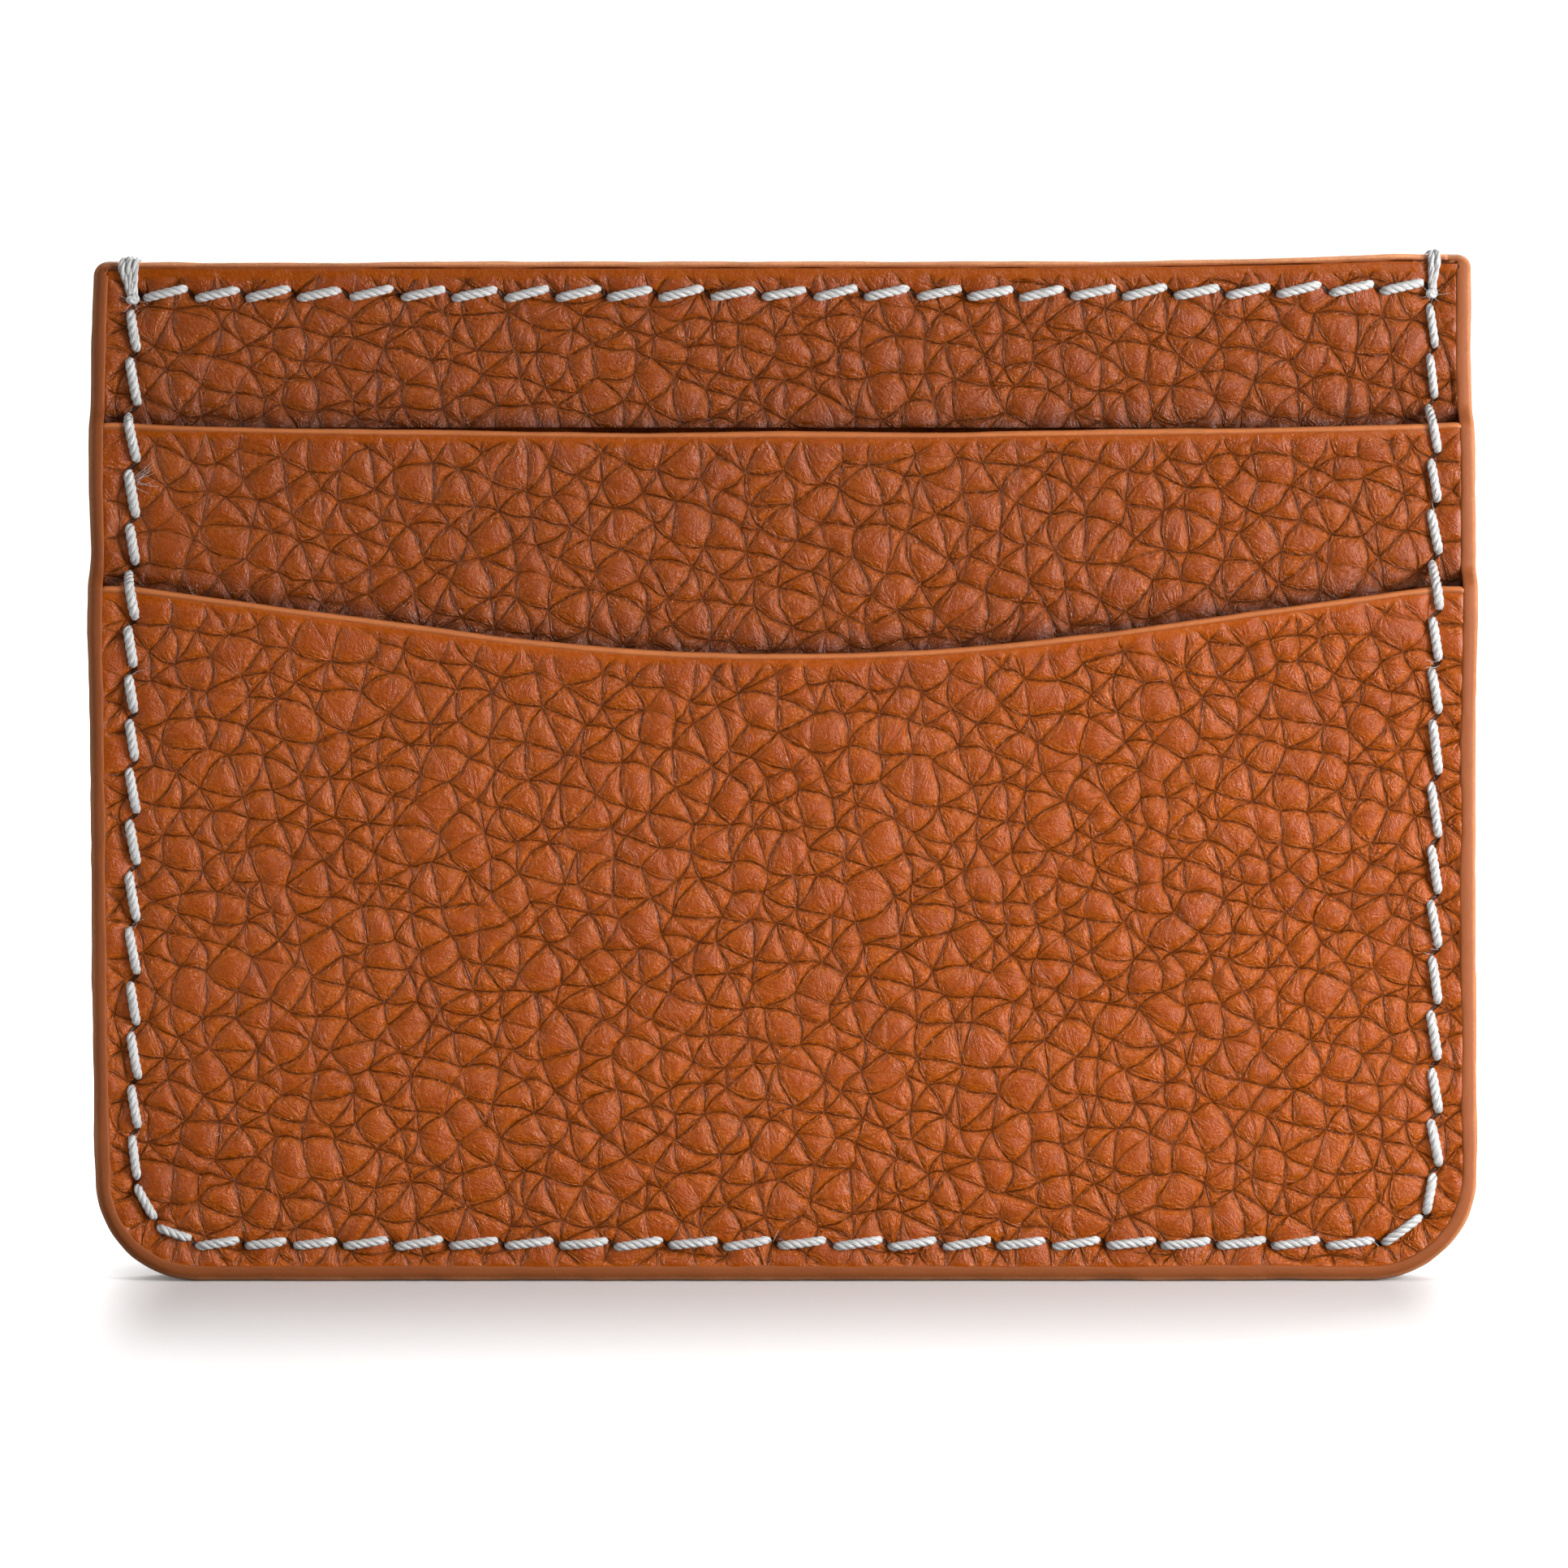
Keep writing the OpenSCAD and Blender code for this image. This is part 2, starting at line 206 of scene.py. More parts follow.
def relief(layer, x, z):
    """How far a layer's face stands proud of its flat position, in mm, before the grain."""
    p = np.stack([np.asarray(x, float).ravel(), np.asarray(z, float).ravel()], 1)
    press, s, t = seam_press(p, HOLES)
    inside = np.clip(t, 0, 40)
    out = np.zeros(len(p))
    if layer == "fp":
        out += 0.30 * (1 - np.exp(-inside / 5.0))
    elif layer == "mp":
        out += 0.34 * (1 - np.exp(-inside / 5.0))
    elif layer == "pn":
        out += 0.26 * (1 - np.exp(-inside / 6.0))
    else:
        out += 0.28 * (1 - np.exp(-inside / 5.0))
    out += 0.07 * vnoise(p[:, 0] / 14, p[:, 1] / 9, 31) + 0.035 * vnoise(p[:, 0] / 5, p[:, 1] / 4, 32)
    out -= press
    if layer in ("pn", "bk"):
        out -= seam_press(p, ROW)[0]
    return out


# ------------------------------------------------------------------ grain: an irregular net of creases over a patch
def crease_net(outline, seed, n_sub, pitch=(2.26, 2.02), merge=0.30, quiet=None):
    """Divides the outline into pebbles. Returns fine vertices, faces and what each corner knows about its creases."""
    rng = np.random.default_rng(seed)
    lo, hi = outline.min(0), outline.max(0)
    ax, az = pitch
    pts = []
    row = 0
    over = 0.30 * (hi[0] - lo[0])
    z = lo[1] - over
    while z < hi[1] + over:
        xs = np.arange(lo[0] - 12, hi[0] + 12, ax) + (ax / 2 if row % 2 else 0)
        zz = z + rng.uniform(-0.25, 0.25, len(xs)) * az + 0.55 * vnoise(xs / 17, z / 13, seed + 3)
        xx = xs + rng.uniform(-0.27, 0.27, len(xs)) * ax
        pts.append(np.stack([xx, zz], 1))
        z += az
        row += 1
    pts = np.concatenate(pts)
    # the rows run aslant and wander, so that no line of creases reads as a row
    mid, th = 0.5 * (lo + hi), -0.27
    q = pts - mid
    pts = mid + np.stack([q[:, 0] * math.cos(th) - q[:, 1] * math.sin(th), q[:, 0] * math.sin(th) + q[:, 1] * math.cos(th)], 1)
    pts[:, 1] += 0.7 * vnoise(pts[:, 0] / 9, pts[:, 1] / 8, seed + 4)
    # the lattice is squeezed a little on the left, where the hide is tighter
    pts[:, 0] += 1.2 * np.sin((pts[:, 0] + 20) / 22.0)
    # points on the outline
    ring = []
    closed = np.vstack([outline, outline[:1]])
    seg = np.hypot(*np.diff(closed, axis=0).T)
    k = 0
    for a, b, n in zip(closed[:-1], closed[1:], seg):
        cuts = max(1, int(round(n / 2.6)))
        for i in range(cuts):
            ring.append(a + (b - a) * i / cuts)
    ring = np.array(ring)
    inside = np.array([point_in(p, outline) for p in pts])
    pts = pts[inside]
    pts = pts[poly_distance(pts, closed) > 0.95]
    allp = np.vstack([ring, pts])
    sc = 1.16                                   # pebbles come out wider than tall
    verts = [Vector((p[0], p[1] * sc)) for p in allp]
    edges = [(i, (i + 1) % len(ring)) for i in range(len(ring))]
    co, _, tri, *_ = delaunay_2d_cdt(verts, edges, [], 1, 1e-5)
    P = np.array([(c.x, c.y / sc) for c in co])
    T = np.array([t for t in tri if len(t) == 3])
    area2 = np.cross(P[T[:, 1]] - P[T[:, 0]], P[T[:, 2]] - P[T[:, 0]])
    T[area2 < 0] = T[area2 < 0][:, ::-1]
    area2 = np.abs(area2)
    T = T[area2 > 1e-4]
    area2 = area2[area2 > 1e-4]
    M = len(T)
    # crease strength of each edge, edge k being opposite corner k
    pair = np.stack([T[:, [1, 2]], T[:, [2, 0]], T[:, [0, 1]]], 1)          # M,3,2
    pair = np.sort(pair, 2)
    flatp = pair.reshape(-1, 2)
    uniq, inv, cnt = np.unique(flatp, axis=0, return_inverse=True, return_counts=True)
    inv = inv.reshape(-1)
    d = P[uniq[:, 1]] - P[uniq[:, 0]]
    long = np.hypot(*d.T)
    ang = np.abs(np.arctan2(d[:, 1], d[:, 0]))
    ang = np.minimum(ang, np.pi - ang)                                       # 0 along X
    lie = 1 - 0.12 * smooth(ang, 0.5, 1.5)
    roll = rng.random(len(uniq))
    st = lie * rng.uniform(0.70, 1.0, len(uniq))
    st = np.where(roll < 0.12, lie * rng.uniform(0.35, 0.6, len(uniq)), st)
    # two triangles whose common side is long grow together into one rounded pebble
    users = [[] for _ in range(len(uniq))]
    for q, e in enumerate(inv):
        users[e].append(q)
    score = []
    for e, u in enumerate(users):
        if len(u) != 2:
            continue
        rest = [inv[q // 3 * 3 + (q % 3 + k) % 3] for q in u for k in (1, 2)]
        ratio = long[e] / np.mean([long[r] for r in rest])
        ok = True
        for end in uniq[e]:                                                 # the quadrilateral has to be convex
            total = 0.0
            for q in u:
                c = T[q // 3]
                k = int(np.where(c == end)[0][0])
                v1, v2 = P[c[(k + 1) % 3]] - P[end], P[c[(k + 2) % 3]] - P[end]
                total += math.acos(max(-1, min(1, (v1 @ v2) / (np.hypot(*v1) * np.hypot(*v2)))))
            ok = ok and total < 2.75
        if ok:
            bulk = (area2[u[0] // 3] + area2[u[1] // 3]) / (2 * area2.mean())
            score.append((bulk * 0.22 - ratio + rng.uniform(-0.16, 0.16), e))
    taken = np.zeros(M, int)
    quota = int(M * merge / 2)
    for _, e in sorted(score):
        m1, m2 = users[e][0] // 3, users[e][1] // 3
        if quota and not taken[m1] and not taken[m2]:
            taken[m1] = taken[m2] = 1
            st[e] = 0.0 if rng.random() < 0.6 else rng.uniform(0.10, 0.24)
            quota -= 1
    if quiet is not None:                                                    # creases die out towards a pressed edge
        hush = quiet(P[uniq[:, 0]]) | quiet(P[uniq[:, 1]])
        st = np.where(hush, st * 0.75, st)
    st = np.where(cnt == 1, 0.0, st)                                         # the outline itself
    S = st[inv].reshape(M, 3)
    # pebble number, shared where the crease between two triangles is missing
    parent = list(range(M))

    def find(a):
        while parent[a] != a:
            parent[a] = parent[parent[a]]
            a = parent[a]
        return a

    owner = {}
    for m in range(M):
        for k in range(3):
            e = inv[m * 3 + k]
            if e in owner and st[e] < 0.26 and cnt[e] == 2:
                parent[find(m)] = find(owner[e])
            owner[e] = m
    cid_of = rng.random(M)
    cid = np.array([cid_of[find(m)] for m in range(M)])
    # fine grid in each triangle
    ij = [(i, j) for i in range(n_sub + 1) for j in range(n_sub + 1 - i)]
    index = {v: k for k, v in enumerate(ij)}
    bary = np.array([(n_sub - i - j, i, j) for i, j in ij], float) / n_sub    # weights of corners A, B, C
    sub = []
    for i in range(n_sub):
        for j in range(n_sub - i):
            sub.append((index[(i, j)], index[(i + 1, j)], index[(i, j + 1)]))
            if i + j < n_sub - 1:
                sub.append((index[(i + 1, j)], index[(i + 1, j + 1)], index[(i, j + 1)]))
    sub = np.array(sub)
    tri_p = P[T]                                                             # M,3,2
    fine = np.einsum("kc,mcd->mkd", bary, tri_p)                             # M,K,2
    # every crease bends a little, away from the larger pebble
    side_n = np.stack([-(P[uniq[:, 1]] - P[uniq[:, 0]])[:, 1], (P[uniq[:, 1]] - P[uniq[:, 0]])[:, 0]], 1)
    bend = np.zeros(len(uniq))
    for e, u in enumerate(users):
        if len(u) == 2:
            m1, m2 = u[0] // 3, u[1] // 3
            c1 = P[T[m1]].mean(0) - P[uniq[e, 0]]
            s1 = 1.0 if c1 @ side_n[e] > 0 else -1.0                          # which side the first triangle is on
            size1, size2 = area2[m1] * (2 if taken[m1] else 1), area2[m2] * (2 if taken[m2] else 1)
            bias = -s1 if size1 > size2 else s1
            bend[e] = bias * rng.uniform(0.02, 0.12) if rng.random() < 0.8 else rng.uniform(-0.06, 0.06)
            if st[e] < 0.26:
                bend[e] *= 0.3
            room = 0.17 * min(area2[m1], area2[m2]) / long[e] ** 2            # keeps thin triangles from folding over
            bend[e] = max(-room, min(room, bend[e]))
    for _ in range(6):
        arch = (bend[:, None] * side_n)[inv].reshape(M, 3, 2)
        shift = sum(4 * (bary[:, (k + 1) % 3] * bary[:, (k + 2) % 3])[None, :, None] * arch[:, None, k] for k in range(3))
        q = (fine + shift)[:, sub]                                           # M,n*n,3,2
        span = np.cross(q[:, :, 1] - q[:, :, 0], q[:, :, 2] - q[:, :, 0])
        tight = span.min(1) < 0.25 * area2 / n_sub**2
        bend[np.unique(inv.reshape(M, 3)[tight])] *= 0.6
    base = np.stack([np.hypot(*(tri_p[:, (k + 2) % 3] - tri_p[:, (k + 1) % 3]).T) for k in range(3)], 1)
    alt = area2[:, None] / base                                              # heights of the triangle
    dist = bary[None] * alt[:, None, :]                                      # M,K,3 distance to each edge
    # height of the pebble: every crease near a point pulls it down
    around = [[] for _ in range(len(P))]
    for m in range(M):
        for v in T[m]:
            around[v].append(m)
    near = []
    for m in range(M):
        es = set()
        for v in T[m]:
            for q in around[v]:
                es.update(inv[q * 3 : q * 3 + 3])
        es = sorted(es, key=lambda e: -st[e])[:34]
        near.append(es + [-1] * (34 - len(es)))
    near = np.array(near)
    st_pad = np.append(st, 0.0)
    A = np.vstack([P[uniq[:, 0]], [[1e5, 1e5]]])[near]                      # M,34,2
    B = np.vstack([P[uniq[:, 1]], [[1e5 + 1, 1e5]]])[near]
    W = st_pad[near]
    wide, narrow = 1.45, 0.62
    total = np.zeros(fine.shape[:2])
    deep = np.zeros(fine.shape[:2])
    for k in range(34):
        a, b = A[:, k][:, None], B[:, k][:, None]
        ab = b - a
        u = np.clip(((fine - a) * ab).sum(2) / np.maximum((ab * ab).sum(2), 1e-9), 0, 1)
        dd = np.hypot(*np.moveaxis(fine - a - u[..., None] * ab, 2, 0))
        w = W[:, k][:, None]
        total += (w * np.clip(1 - dd / wide, 0, 1) ** 1.7) ** 2.0
        deep += (w * np.clip(1 - dd / narrow, 0, 1) ** 1.4) ** 2.0
    height = 1 - 0.62 * np.tanh(0.95 * np.sqrt(total)) - 0.38 * np.tanh(1.1 * np.sqrt(deep))
    # weld
    key = np.round(fine.reshape(-1, 2) * 2e4).astype(np.int64)
    _, first, back = np.unique(key, axis=0, return_index=True, return_inverse=True)
    back = back.reshape(-1).reshape(M, -1)
    V = (fine + shift).reshape(-1, 2)[first]
    H = height.reshape(-1)[first]
    F = back[:, sub]                                                         # M,n*n,3
    ed = dist[:, sub]                                                        # M,n*n,3,3
    es = np.broadcast_to(S[:, None, None, :], ed.shape)
    ci = np.broadcast_to(cid[:, None, None], ed.shape[:3])
    F = F.reshape(-1, 3)
    return dict(V=V, H=H, F=F, ed=ed.reshape(-1, 3), es=es.reshape(-1, 3), cid=ci.reshape(-1), ring=closed)


def point_in(p, poly):
    x, z = p
    a, b = poly, np.roll(poly, -1, 0)
    c = (a[:, 1] > z) != (b[:, 1] > z)
    if not c.any():
        return False
    xs = a[c, 0] + (z - a[c, 1]) * (b[c, 0] - a[c, 0]) / (b[c, 1] - a[c, 1])
    return bool(np.count_nonzero(xs > x) % 2)


def ordered_loop(F):
    """The outer border of a triangle patch as an ordered list of vertices."""
    e = np.concatenate([F[:, [0, 1]], F[:, [1, 2]], F[:, [2, 0]]])
    have = set(map(tuple, e))
    nxt = {a: b for a, b in have if (b, a) not in have}
    start = next(iter(nxt))
    loop, v = [start], nxt[start]
    while v != start:
        loop.append(v)
        v = nxt[v]
    return loop


def add_mesh(name, verts, faces, material, corner=None, point=None, smooth_shade=True):
    me = bpy.data.meshes.new(name)
    me.from_pydata([tuple(v) for v in np.asarray(verts) * MM], [], [tuple(int(i) for i in f) for f in faces])
    for key, (kind, data) in (corner or {}).items():
        at = me.attributes.new(key, kind, "CORNER")
        at.data.foreach_set("vector" if kind == "FLOAT_VECTOR" else "value", np.asarray(data, np.float32).ravel())
    for key, (kind, data) in (point or {}).items():
        at = me.attributes.new(key, kind, "POINT")
        at.data.foreach_set("vector" if kind == "FLOAT_VECTOR" else "value", np.asarray(data, np.float32).ravel())
    me.polygons.foreach_set("use_smooth", np.full(len(me.polygons), smooth_shade))
    me.materials.append(material)
    me.update()
    ob = bpy.data.objects.new(name, me)
    scene.collection.objects.link(ob)
    return ob


def leather_piece(name, layer, face_y, back_y, outline, material, seed, n_sub, lower=None, grain=0.52, split=None):
    """A closed leather panel: a grained front face, cut edges and a plain flesh side.
    lower lists the outline points of the plain part that stays hidden, from the right end of the split line to its left end."""
    sgn = -1 if face_y < back_y else 1
    top_of = {"fp": mouth_z, "mp": mid_z}.get(layer, lambda x: np.full(len(x), TOP_L))
    net = crease_net(outline, seed, n_sub, quiet=lambda q: top_of(q[:, 0]) - q[:, 1] < 0.55)
    V, F = net["V"], net["F"]
    bord = poly_distance(V, net["ring"])
    # bend the creases a little
    fade = smooth(bord, 0.0, 1.4)
    wx = 0.20 * vnoise(V[:, 0] / 2.3, V[:, 1] / 2.1, seed + 11) + 0.05 * vnoise(V[:, 0] / 0.75, V[:, 1] / 0.7, seed + 12)
    wz = 0.18 * vnoise(V[:, 0] / 2.2, V[:, 1] / 2.4, seed + 13) + 0.05 * vnoise(V[:, 0] / 0.7, V[:, 1] / 0.75, seed + 14)
    V = V + np.stack([wx, wz], 1) * fade[:, None]
    s1, t1 = seam_coords(V, HOLES)
    s2, t2 = seam_coords(V, ROW) if layer in ("pn", "bk") else (np.zeros(len(V)), np.full(len(V), 9.0))
    near_seam = np.minimum(np.abs(t1), np.abs(t2))
    rag = 0.30 * vnoise(V[:, 0] / 1.3, V[:, 1] / 1.3, seed + 23) + 0.15 * vnoise(V[:, 0] / 0.5, V[:, 1] / 0.5, seed + 24)
    side = body_distance(V) - COAT
    down = top_of(V[:, 0]) - 0.4 - V[:, 1]
    fade_e = smooth(side + rag * 0.3, 0.46, 0.88) * smooth(down + rag * 0.7, 0.20, 0.80 if layer in ("fp", "mp") else 0.5)
    amp = grain * (0.66 + 0.34 * smooth(near_seam, 0.3, 1.3)) * fade_e
    amp *= 0.88 + 0.16 * vnoise(V[:, 0] / 11, V[:, 1] / 8, seed + 21)
    tame = (0.24 if layer == "mp" else 0.06) * smooth(-V[:, 0], 20, 42)
    amp *= 1 - tame
    rise = relief(layer, V[:, 0], V[:, 1])
    rise += (net["H"] - 0.72) * amp + 0.010 * vnoise(V[:, 0] / 0.5, V[:, 1] / 0.5, seed + 22)
    rise -= 0.12 * (1 - smooth(side, 0.30, 0.62))
    # needle holes pull the face in
    for s, t in ((s1, t1), (s2, t2)):
        ds = (s - np.round(s)) * 3.8
        rise -= 0.22 * np.exp(-((ds / 0.5) ** 2 + (t / 0.38) ** 2))
    pos = np.stack([V[:, 0], face_y + sgn * rise, V[:, 1]], 1)
    nv = len(pos)
    loop = ordered_loop(F)                      # anticlockwise seen from the front
    lp = V[loop]
    faces = [tuple(f) for f in (F if sgn < 0 else F[:, ::-1])]
    extra = []
    if lower is not None:
        line = [i for i in range(len(loop)) if lp[i, 1] < split + 1e-3]
        # rotate so that the split line comes first, left to right
        isl = np.array([lp[i, 1] < split + 1e-3 for i in range(len(loop))])
        k0 = next(i for i in range(len(loop)) if isl[i] and not isl[i - 1])
        loop = loop[k0:] + loop[:k0]
        isl = np.roll(isl, -k0)
        nl = int(isl.sum())
        split_v, rest = loop[:nl], loop[nl:]
        low_v = []
        for q in lower:
            low_v.append(nv + len(extra))
            extra.append((q[0], face_y + sgn * 0.02, q[1]))
        hidden = low_v[::-1] if False else None
        # split line runs left to right; the hidden part lies below it
        ngon = list(reversed(split_v)) + list(reversed(low_v))
        faces.append(tuple(ngon if sgn < 0 else ngon[::-1]))
        whole = rest + [split_v[0]] + list(reversed(low_v)) + [split_v[-1]]
        whole = [split_v[-1]] + rest + [split_v[0]] + list(reversed(low_v))
    else:
        whole = loop
    allv = np.vstack([pos, np.array(extra)]) if extra else pos
    nb = len(allv)
    backv = allv[whole].copy()
    backv[:, 1] = back_y
    allv = np.vstack([allv, backv])
    L = len(whole)
    for i in range(L):
        a, b = whole[i], whole[(i + 1) % L]
        c, d = nb + (i + 1) % L, nb + i
        faces.append((b, a, d, c) if sgn < 0 else (a, b, c, d))
    cap = [nb + i for i in range(L)]
    faces.append(tuple(cap[::-1] if sgn < 0 else cap))
    # attributes: only the grained faces carry creases
    nf = len(F)
    ncorner = sum(len(f) for f in faces)
    ed = np.full((ncorner, 3), 9.0)
    es = np.zeros((ncorner, 3))
    ci = np.full(ncorner, 0.5)
    order = slice(None)
    e3, s3, c1 = net["ed"], net["es"], net["cid"]
    if sgn > 0:
        e3 = e3.reshape(-1, 3, 3)[:, ::-1].reshape(-1, 3)
        s3 = s3.reshape(-1, 3, 3)[:, ::-1].reshape(-1, 3)
        c1 = c1.reshape(-1, 3)[:, ::-1].reshape(-1)
    ed[: nf * 3], es[: nf * 3], ci[: nf * 3] = e3, s3, c1
    pad = len(allv) - nv
    hgt = np.concatenate([net["H"], np.full(pad, 0.5)])
    brd = np.concatenate([fade_e * (1 - 0.8 * tame), np.zeros(pad)])
    # painted shade: the leather just above the mouth of the layer in front is darkened, standing in for the shadow in
    # the slot
    below = {"mp": mouth_z, "pn": mid_z}.get(layer)
    painted_mouth_shade = np.exp(-((np.clip(V[:, 1] - below(V[:, 0]) - 0.15, 0, 9) / 1.05) ** 1.3)) if below else np.zeros(nv)
    painted_mouth_shade = np.concatenate([painted_mouth_shade, np.zeros(pad)])
    sm = np.stack([s1, t1, np.zeros(nv)], 1)
    sm = np.vstack([sm, np.tile([0.5, 9, 0], (pad, 1))])
    rw = np.stack([s2, t2, np.zeros(nv)], 1)
    rw = np.vstack([rw, np.tile([0.5, 9, 0], (pad, 1))])
    return add_mesh(
        name, wear(allv), faces, material,
        corner=dict(ed=("FLOAT_VECTOR", ed), es=("FLOAT_VECTOR", es), cid=("FLOAT", ci)),
        point=dict(hgt=("FLOAT", hgt), bord=("FLOAT", brd), painted_mouth_shade=("FLOAT", painted_mouth_shade), seam=("FLOAT_VECTOR", sm), row=("FLOAT_VECTOR", rw)),
    )


# ------------------------------------------------------------------ materials
class Nodes:
    """Short-hand for building a node tree."""

    def __init__(self, name):
        self.mat = bpy.data.materials.new(name)
        self.mat.use_nodes = True
        self.tree = self.mat.node_tree
        self.tree.nodes.clear()
        self.out = self.tree.nodes.new("ShaderNodeOutputMaterial")
        self.bsdf = self.tree.nodes.new("ShaderNodeBsdfPrincipled")
        self.tree.links.new(self.bsdf.outputs[0], self.out.inputs[0])

    def _in(self, node, key, v):
        sock = node.inputs[key]
        if isinstance(v, bpy.types.NodeSocket):
            self.tree.links.new(v, sock)
        elif v is not None:
            sock.default_value = v

    def math(self, op, a, b=None, c=None, clamp=False):
        n = self.tree.nodes.new("ShaderNodeMath")
        n.operation = op
        n.use_clamp = clamp
        for i, v in enumerate((a, b, c)):
            self._in(n, i, v)
        return n.outputs[0]

    def vmath(self, op, a, b=None):
        n = self.tree.nodes.new("ShaderNodeVectorMath")
        n.operation = op
        self._in(n, 0, a)
        if b is not None:
            self._in(n, 1, b)
        return n.outputs["Value"] if op in ("LENGTH", "DOT_PRODUCT", "DISTANCE") else n.outputs[0]

    def attr(self, name, out="Fac"):
        n = self.tree.nodes.new("ShaderNodeAttribute")
        n.attribute_name = name
        return n.outputs[out]

    def split(self, v):
        n = self.tree.nodes.new("ShaderNodeSeparateXYZ")
        self._in(n, 0, v)
        return n.outputs[0], n.outputs[1], n.outputs[2]

    def join(self, x, y, z):
        n = self.tree.nodes.new("ShaderNodeCombineXYZ")
        for i, v in enumerate((x, y, z)):
            self._in(n, i, v)
        return n.outputs[0]

    def mm(self):
        n = self.tree.nodes.new("ShaderNodeTexCoord")
        return self.vmath("MULTIPLY", n.outputs["Object"], (1000.0, 1000.0, 1000.0))

    def noise(self, vec, scale, detail=2.0, rough=0.5, out=0, dist=0.0):
        n = self.tree.nodes.new("ShaderNodeTexNoise")
        self._in(n, "Vector", vec)
        n.inputs["Scale"].default_value = scale
        n.inputs["Detail"].default_value = detail
        n.inputs["Roughness"].default_value = rough
        n.inputs["Distortion"].default_value = dist
        return n.outputs[out]

    def ramp(self, v, a, b, lo=0.0, hi=1.0):
        n = self.tree.nodes.new("ShaderNodeMapRange")
        n.interpolation_type = "SMOOTHSTEP"
        for k, x in zip(("Value", "From Min", "From Max", "To Min", "To Max"), (v, a, b, lo, hi)):
            self._in(n, k, x)
        return n.outputs[0]

    def mix(self, f, a, b, mode="MIX"):
        n = self.tree.nodes.new("ShaderNodeMix")
        n.data_type = "RGBA"
        n.blend_type = mode
        self._in(n, 0, f)
        for i, v in ((6, a), (7, b)):
            if isinstance(v, tuple) and len(v) == 3:
                v = v + (1.0,)
            self._in(n, i, v)
        return n.outputs[2]

    def bump(self, height, strength, distance, normal=None):
        n = self.tree.nodes.new("ShaderNodeBump")
        n.inputs["Strength"].default_value = strength
        n.inputs["Distance"].default_value = distance
        self._in(n, "Height", height)
        if normal is not None:
            self._in(n, "Normal", normal)
        return n.outputs[0]


def leather_material(name, centre, slope_sheen, crease, rough=0.26, spec=0.38):
    n = Nodes(name)
    p = n.mm()
    d = n.split(n.attr("ed", "Vector"))
    w = n.split(n.attr("es", "Vector"))
    hgt, cid, grainy = n.attr("hgt"), n.attr("cid"), n.attr("bord")
    fine = n.noise(p, 2.6, 3.0, 0.6)
    fine2 = n.noise(p, 3.6, 2.0, 0.55)
    coarse = n.noise(p, 0.13, 3.0, 0.5)
    seen = [n.ramp(k, 0.08, 0.75) for k in w]
    wobble = n.math("MULTIPLY_ADD", fine, 0.14, -0.05)      # the dark line wanders off the fold's middle
    broken = n.ramp(n.noise(p, 1.7, 2.0, 0.6), 0.30, 0.56, 0.35, 1.0)

    def tri(v, centre_at, half):
        q = n.math("ABSOLUTE", n.math("SUBTRACT", v, centre_at))
        return n.math("SUBTRACT", 1.0, n.math("DIVIDE", q, half), clamp=True)

    def largest(parts):
        return n.math("MAXIMUM", n.math("MAXIMUM", parts[0], parts[1]), parts[2])

    sharp = largest([n.math("MULTIPLY", n.ramp(tri(dj, wobble, 0.062), 0.0, 0.8), sj) for dj, sj in zip(d, seen)])
    sharp = n.math("MULTIPLY", n.math("MULTIPLY", sharp, broken), grainy)
    soft = largest([n.math("MULTIPLY", n.math("POWER", tri(dj, 0.0, 0.42), 1.6), sj) for dj, sj in zip(d, seen)])
    soft = n.math("MULTIPLY", soft, grainy)
    # rounded distance to the pebble's own border: corners are cut off round
    ex = [n.math("EXPONENT", n.math("MULTIPLY", n.math("ADD", dj, n.math("MULTIPLY", n.math("SUBTRACT", 1.0, sj), 2.6)), -3.3)) for dj, sj in zip(d, seen)]
    total = n.math("ADD", n.math("ADD", ex[0], ex[1]), ex[2])
    own = n.math("DIVIDE", n.math("LOGARITHM", n.math("MAXIMUM", total, 1e-5), math.e), -3.3)
    own = n.math("ADD", own, n.math("MULTIPLY_ADD", n.noise(p, 1.2, 2.0, 0.5), 0.30, -0.15))
    rim = n.math("MULTIPLY", n.ramp(tri(own, 0.12, 0.055), 0.0, 0.9), grainy)          # second, rounded crease line
    rim = n.math("MULTIPLY", rim, n.ramp(n.noise(p, 0.9, 2.0, 0.5), 0.42, 0.62))
    inner = n.math("MULTIPLY", n.ramp(own, 0.18, 0.62), 1.0)

    # fine wrinkles: alongside the creases, and fanning out of the junctions
    def streak(k):
        a, b, c = d[k], d[(k + 1) % 3], d[(k + 2) % 3]
        v = n.join(n.math("MULTIPLY", a, 4.0), n.math("MULTIPLY", n.math("SUBTRACT", b, c), 0.8), n.math("MULTIPLY_ADD", cid, 37.0, float(k * 5)))
        q = n.noise(v, 1.0, 2.0, 0.6, dist=0.5)
        return n.math("MULTIPLY", n.math("SUBTRACT", q, 0.5), n.math("MULTIPLY", n.ramp(a, 0.95, 0.15), seen[k]))

    def fan(k):
        b, c = d[(k + 1) % 3], d[(k + 2) % 3]
        r = n.math("ADD", b, c)
        turn = n.math("DIVIDE", b, n.math("MAXIMUM", r, 0.02))
        v = n.join(n.math("MULTIPLY", turn, 5.5), n.math("MULTIPLY", r, 0.55), n.math("MULTIPLY_ADD", cid, 53.0, float(k * 7)))
        q = n.noise(v, 1.0, 2.0, 0.6, dist=0.3)
        return n.math("MULTIPLY", n.math("SUBTRACT", q, 0.5), n.math("MULTIPLY", n.ramp(r, 1.9, 0.5), n.ramp(r, 0.02, 0.2)))

    wr = n.math("ADD", n.math("ADD", streak(0), streak(1)), streak(2))
    fans = n.math("ADD", n.math("ADD", fan(0), fan(1)), fan(2))
    wr = n.math("MULTIPLY", n.math("ADD", wr, n.math("MULTIPLY", fans, 0.75)), n.math("MULTIPLY_ADD", grainy, 0.85, 0.15))
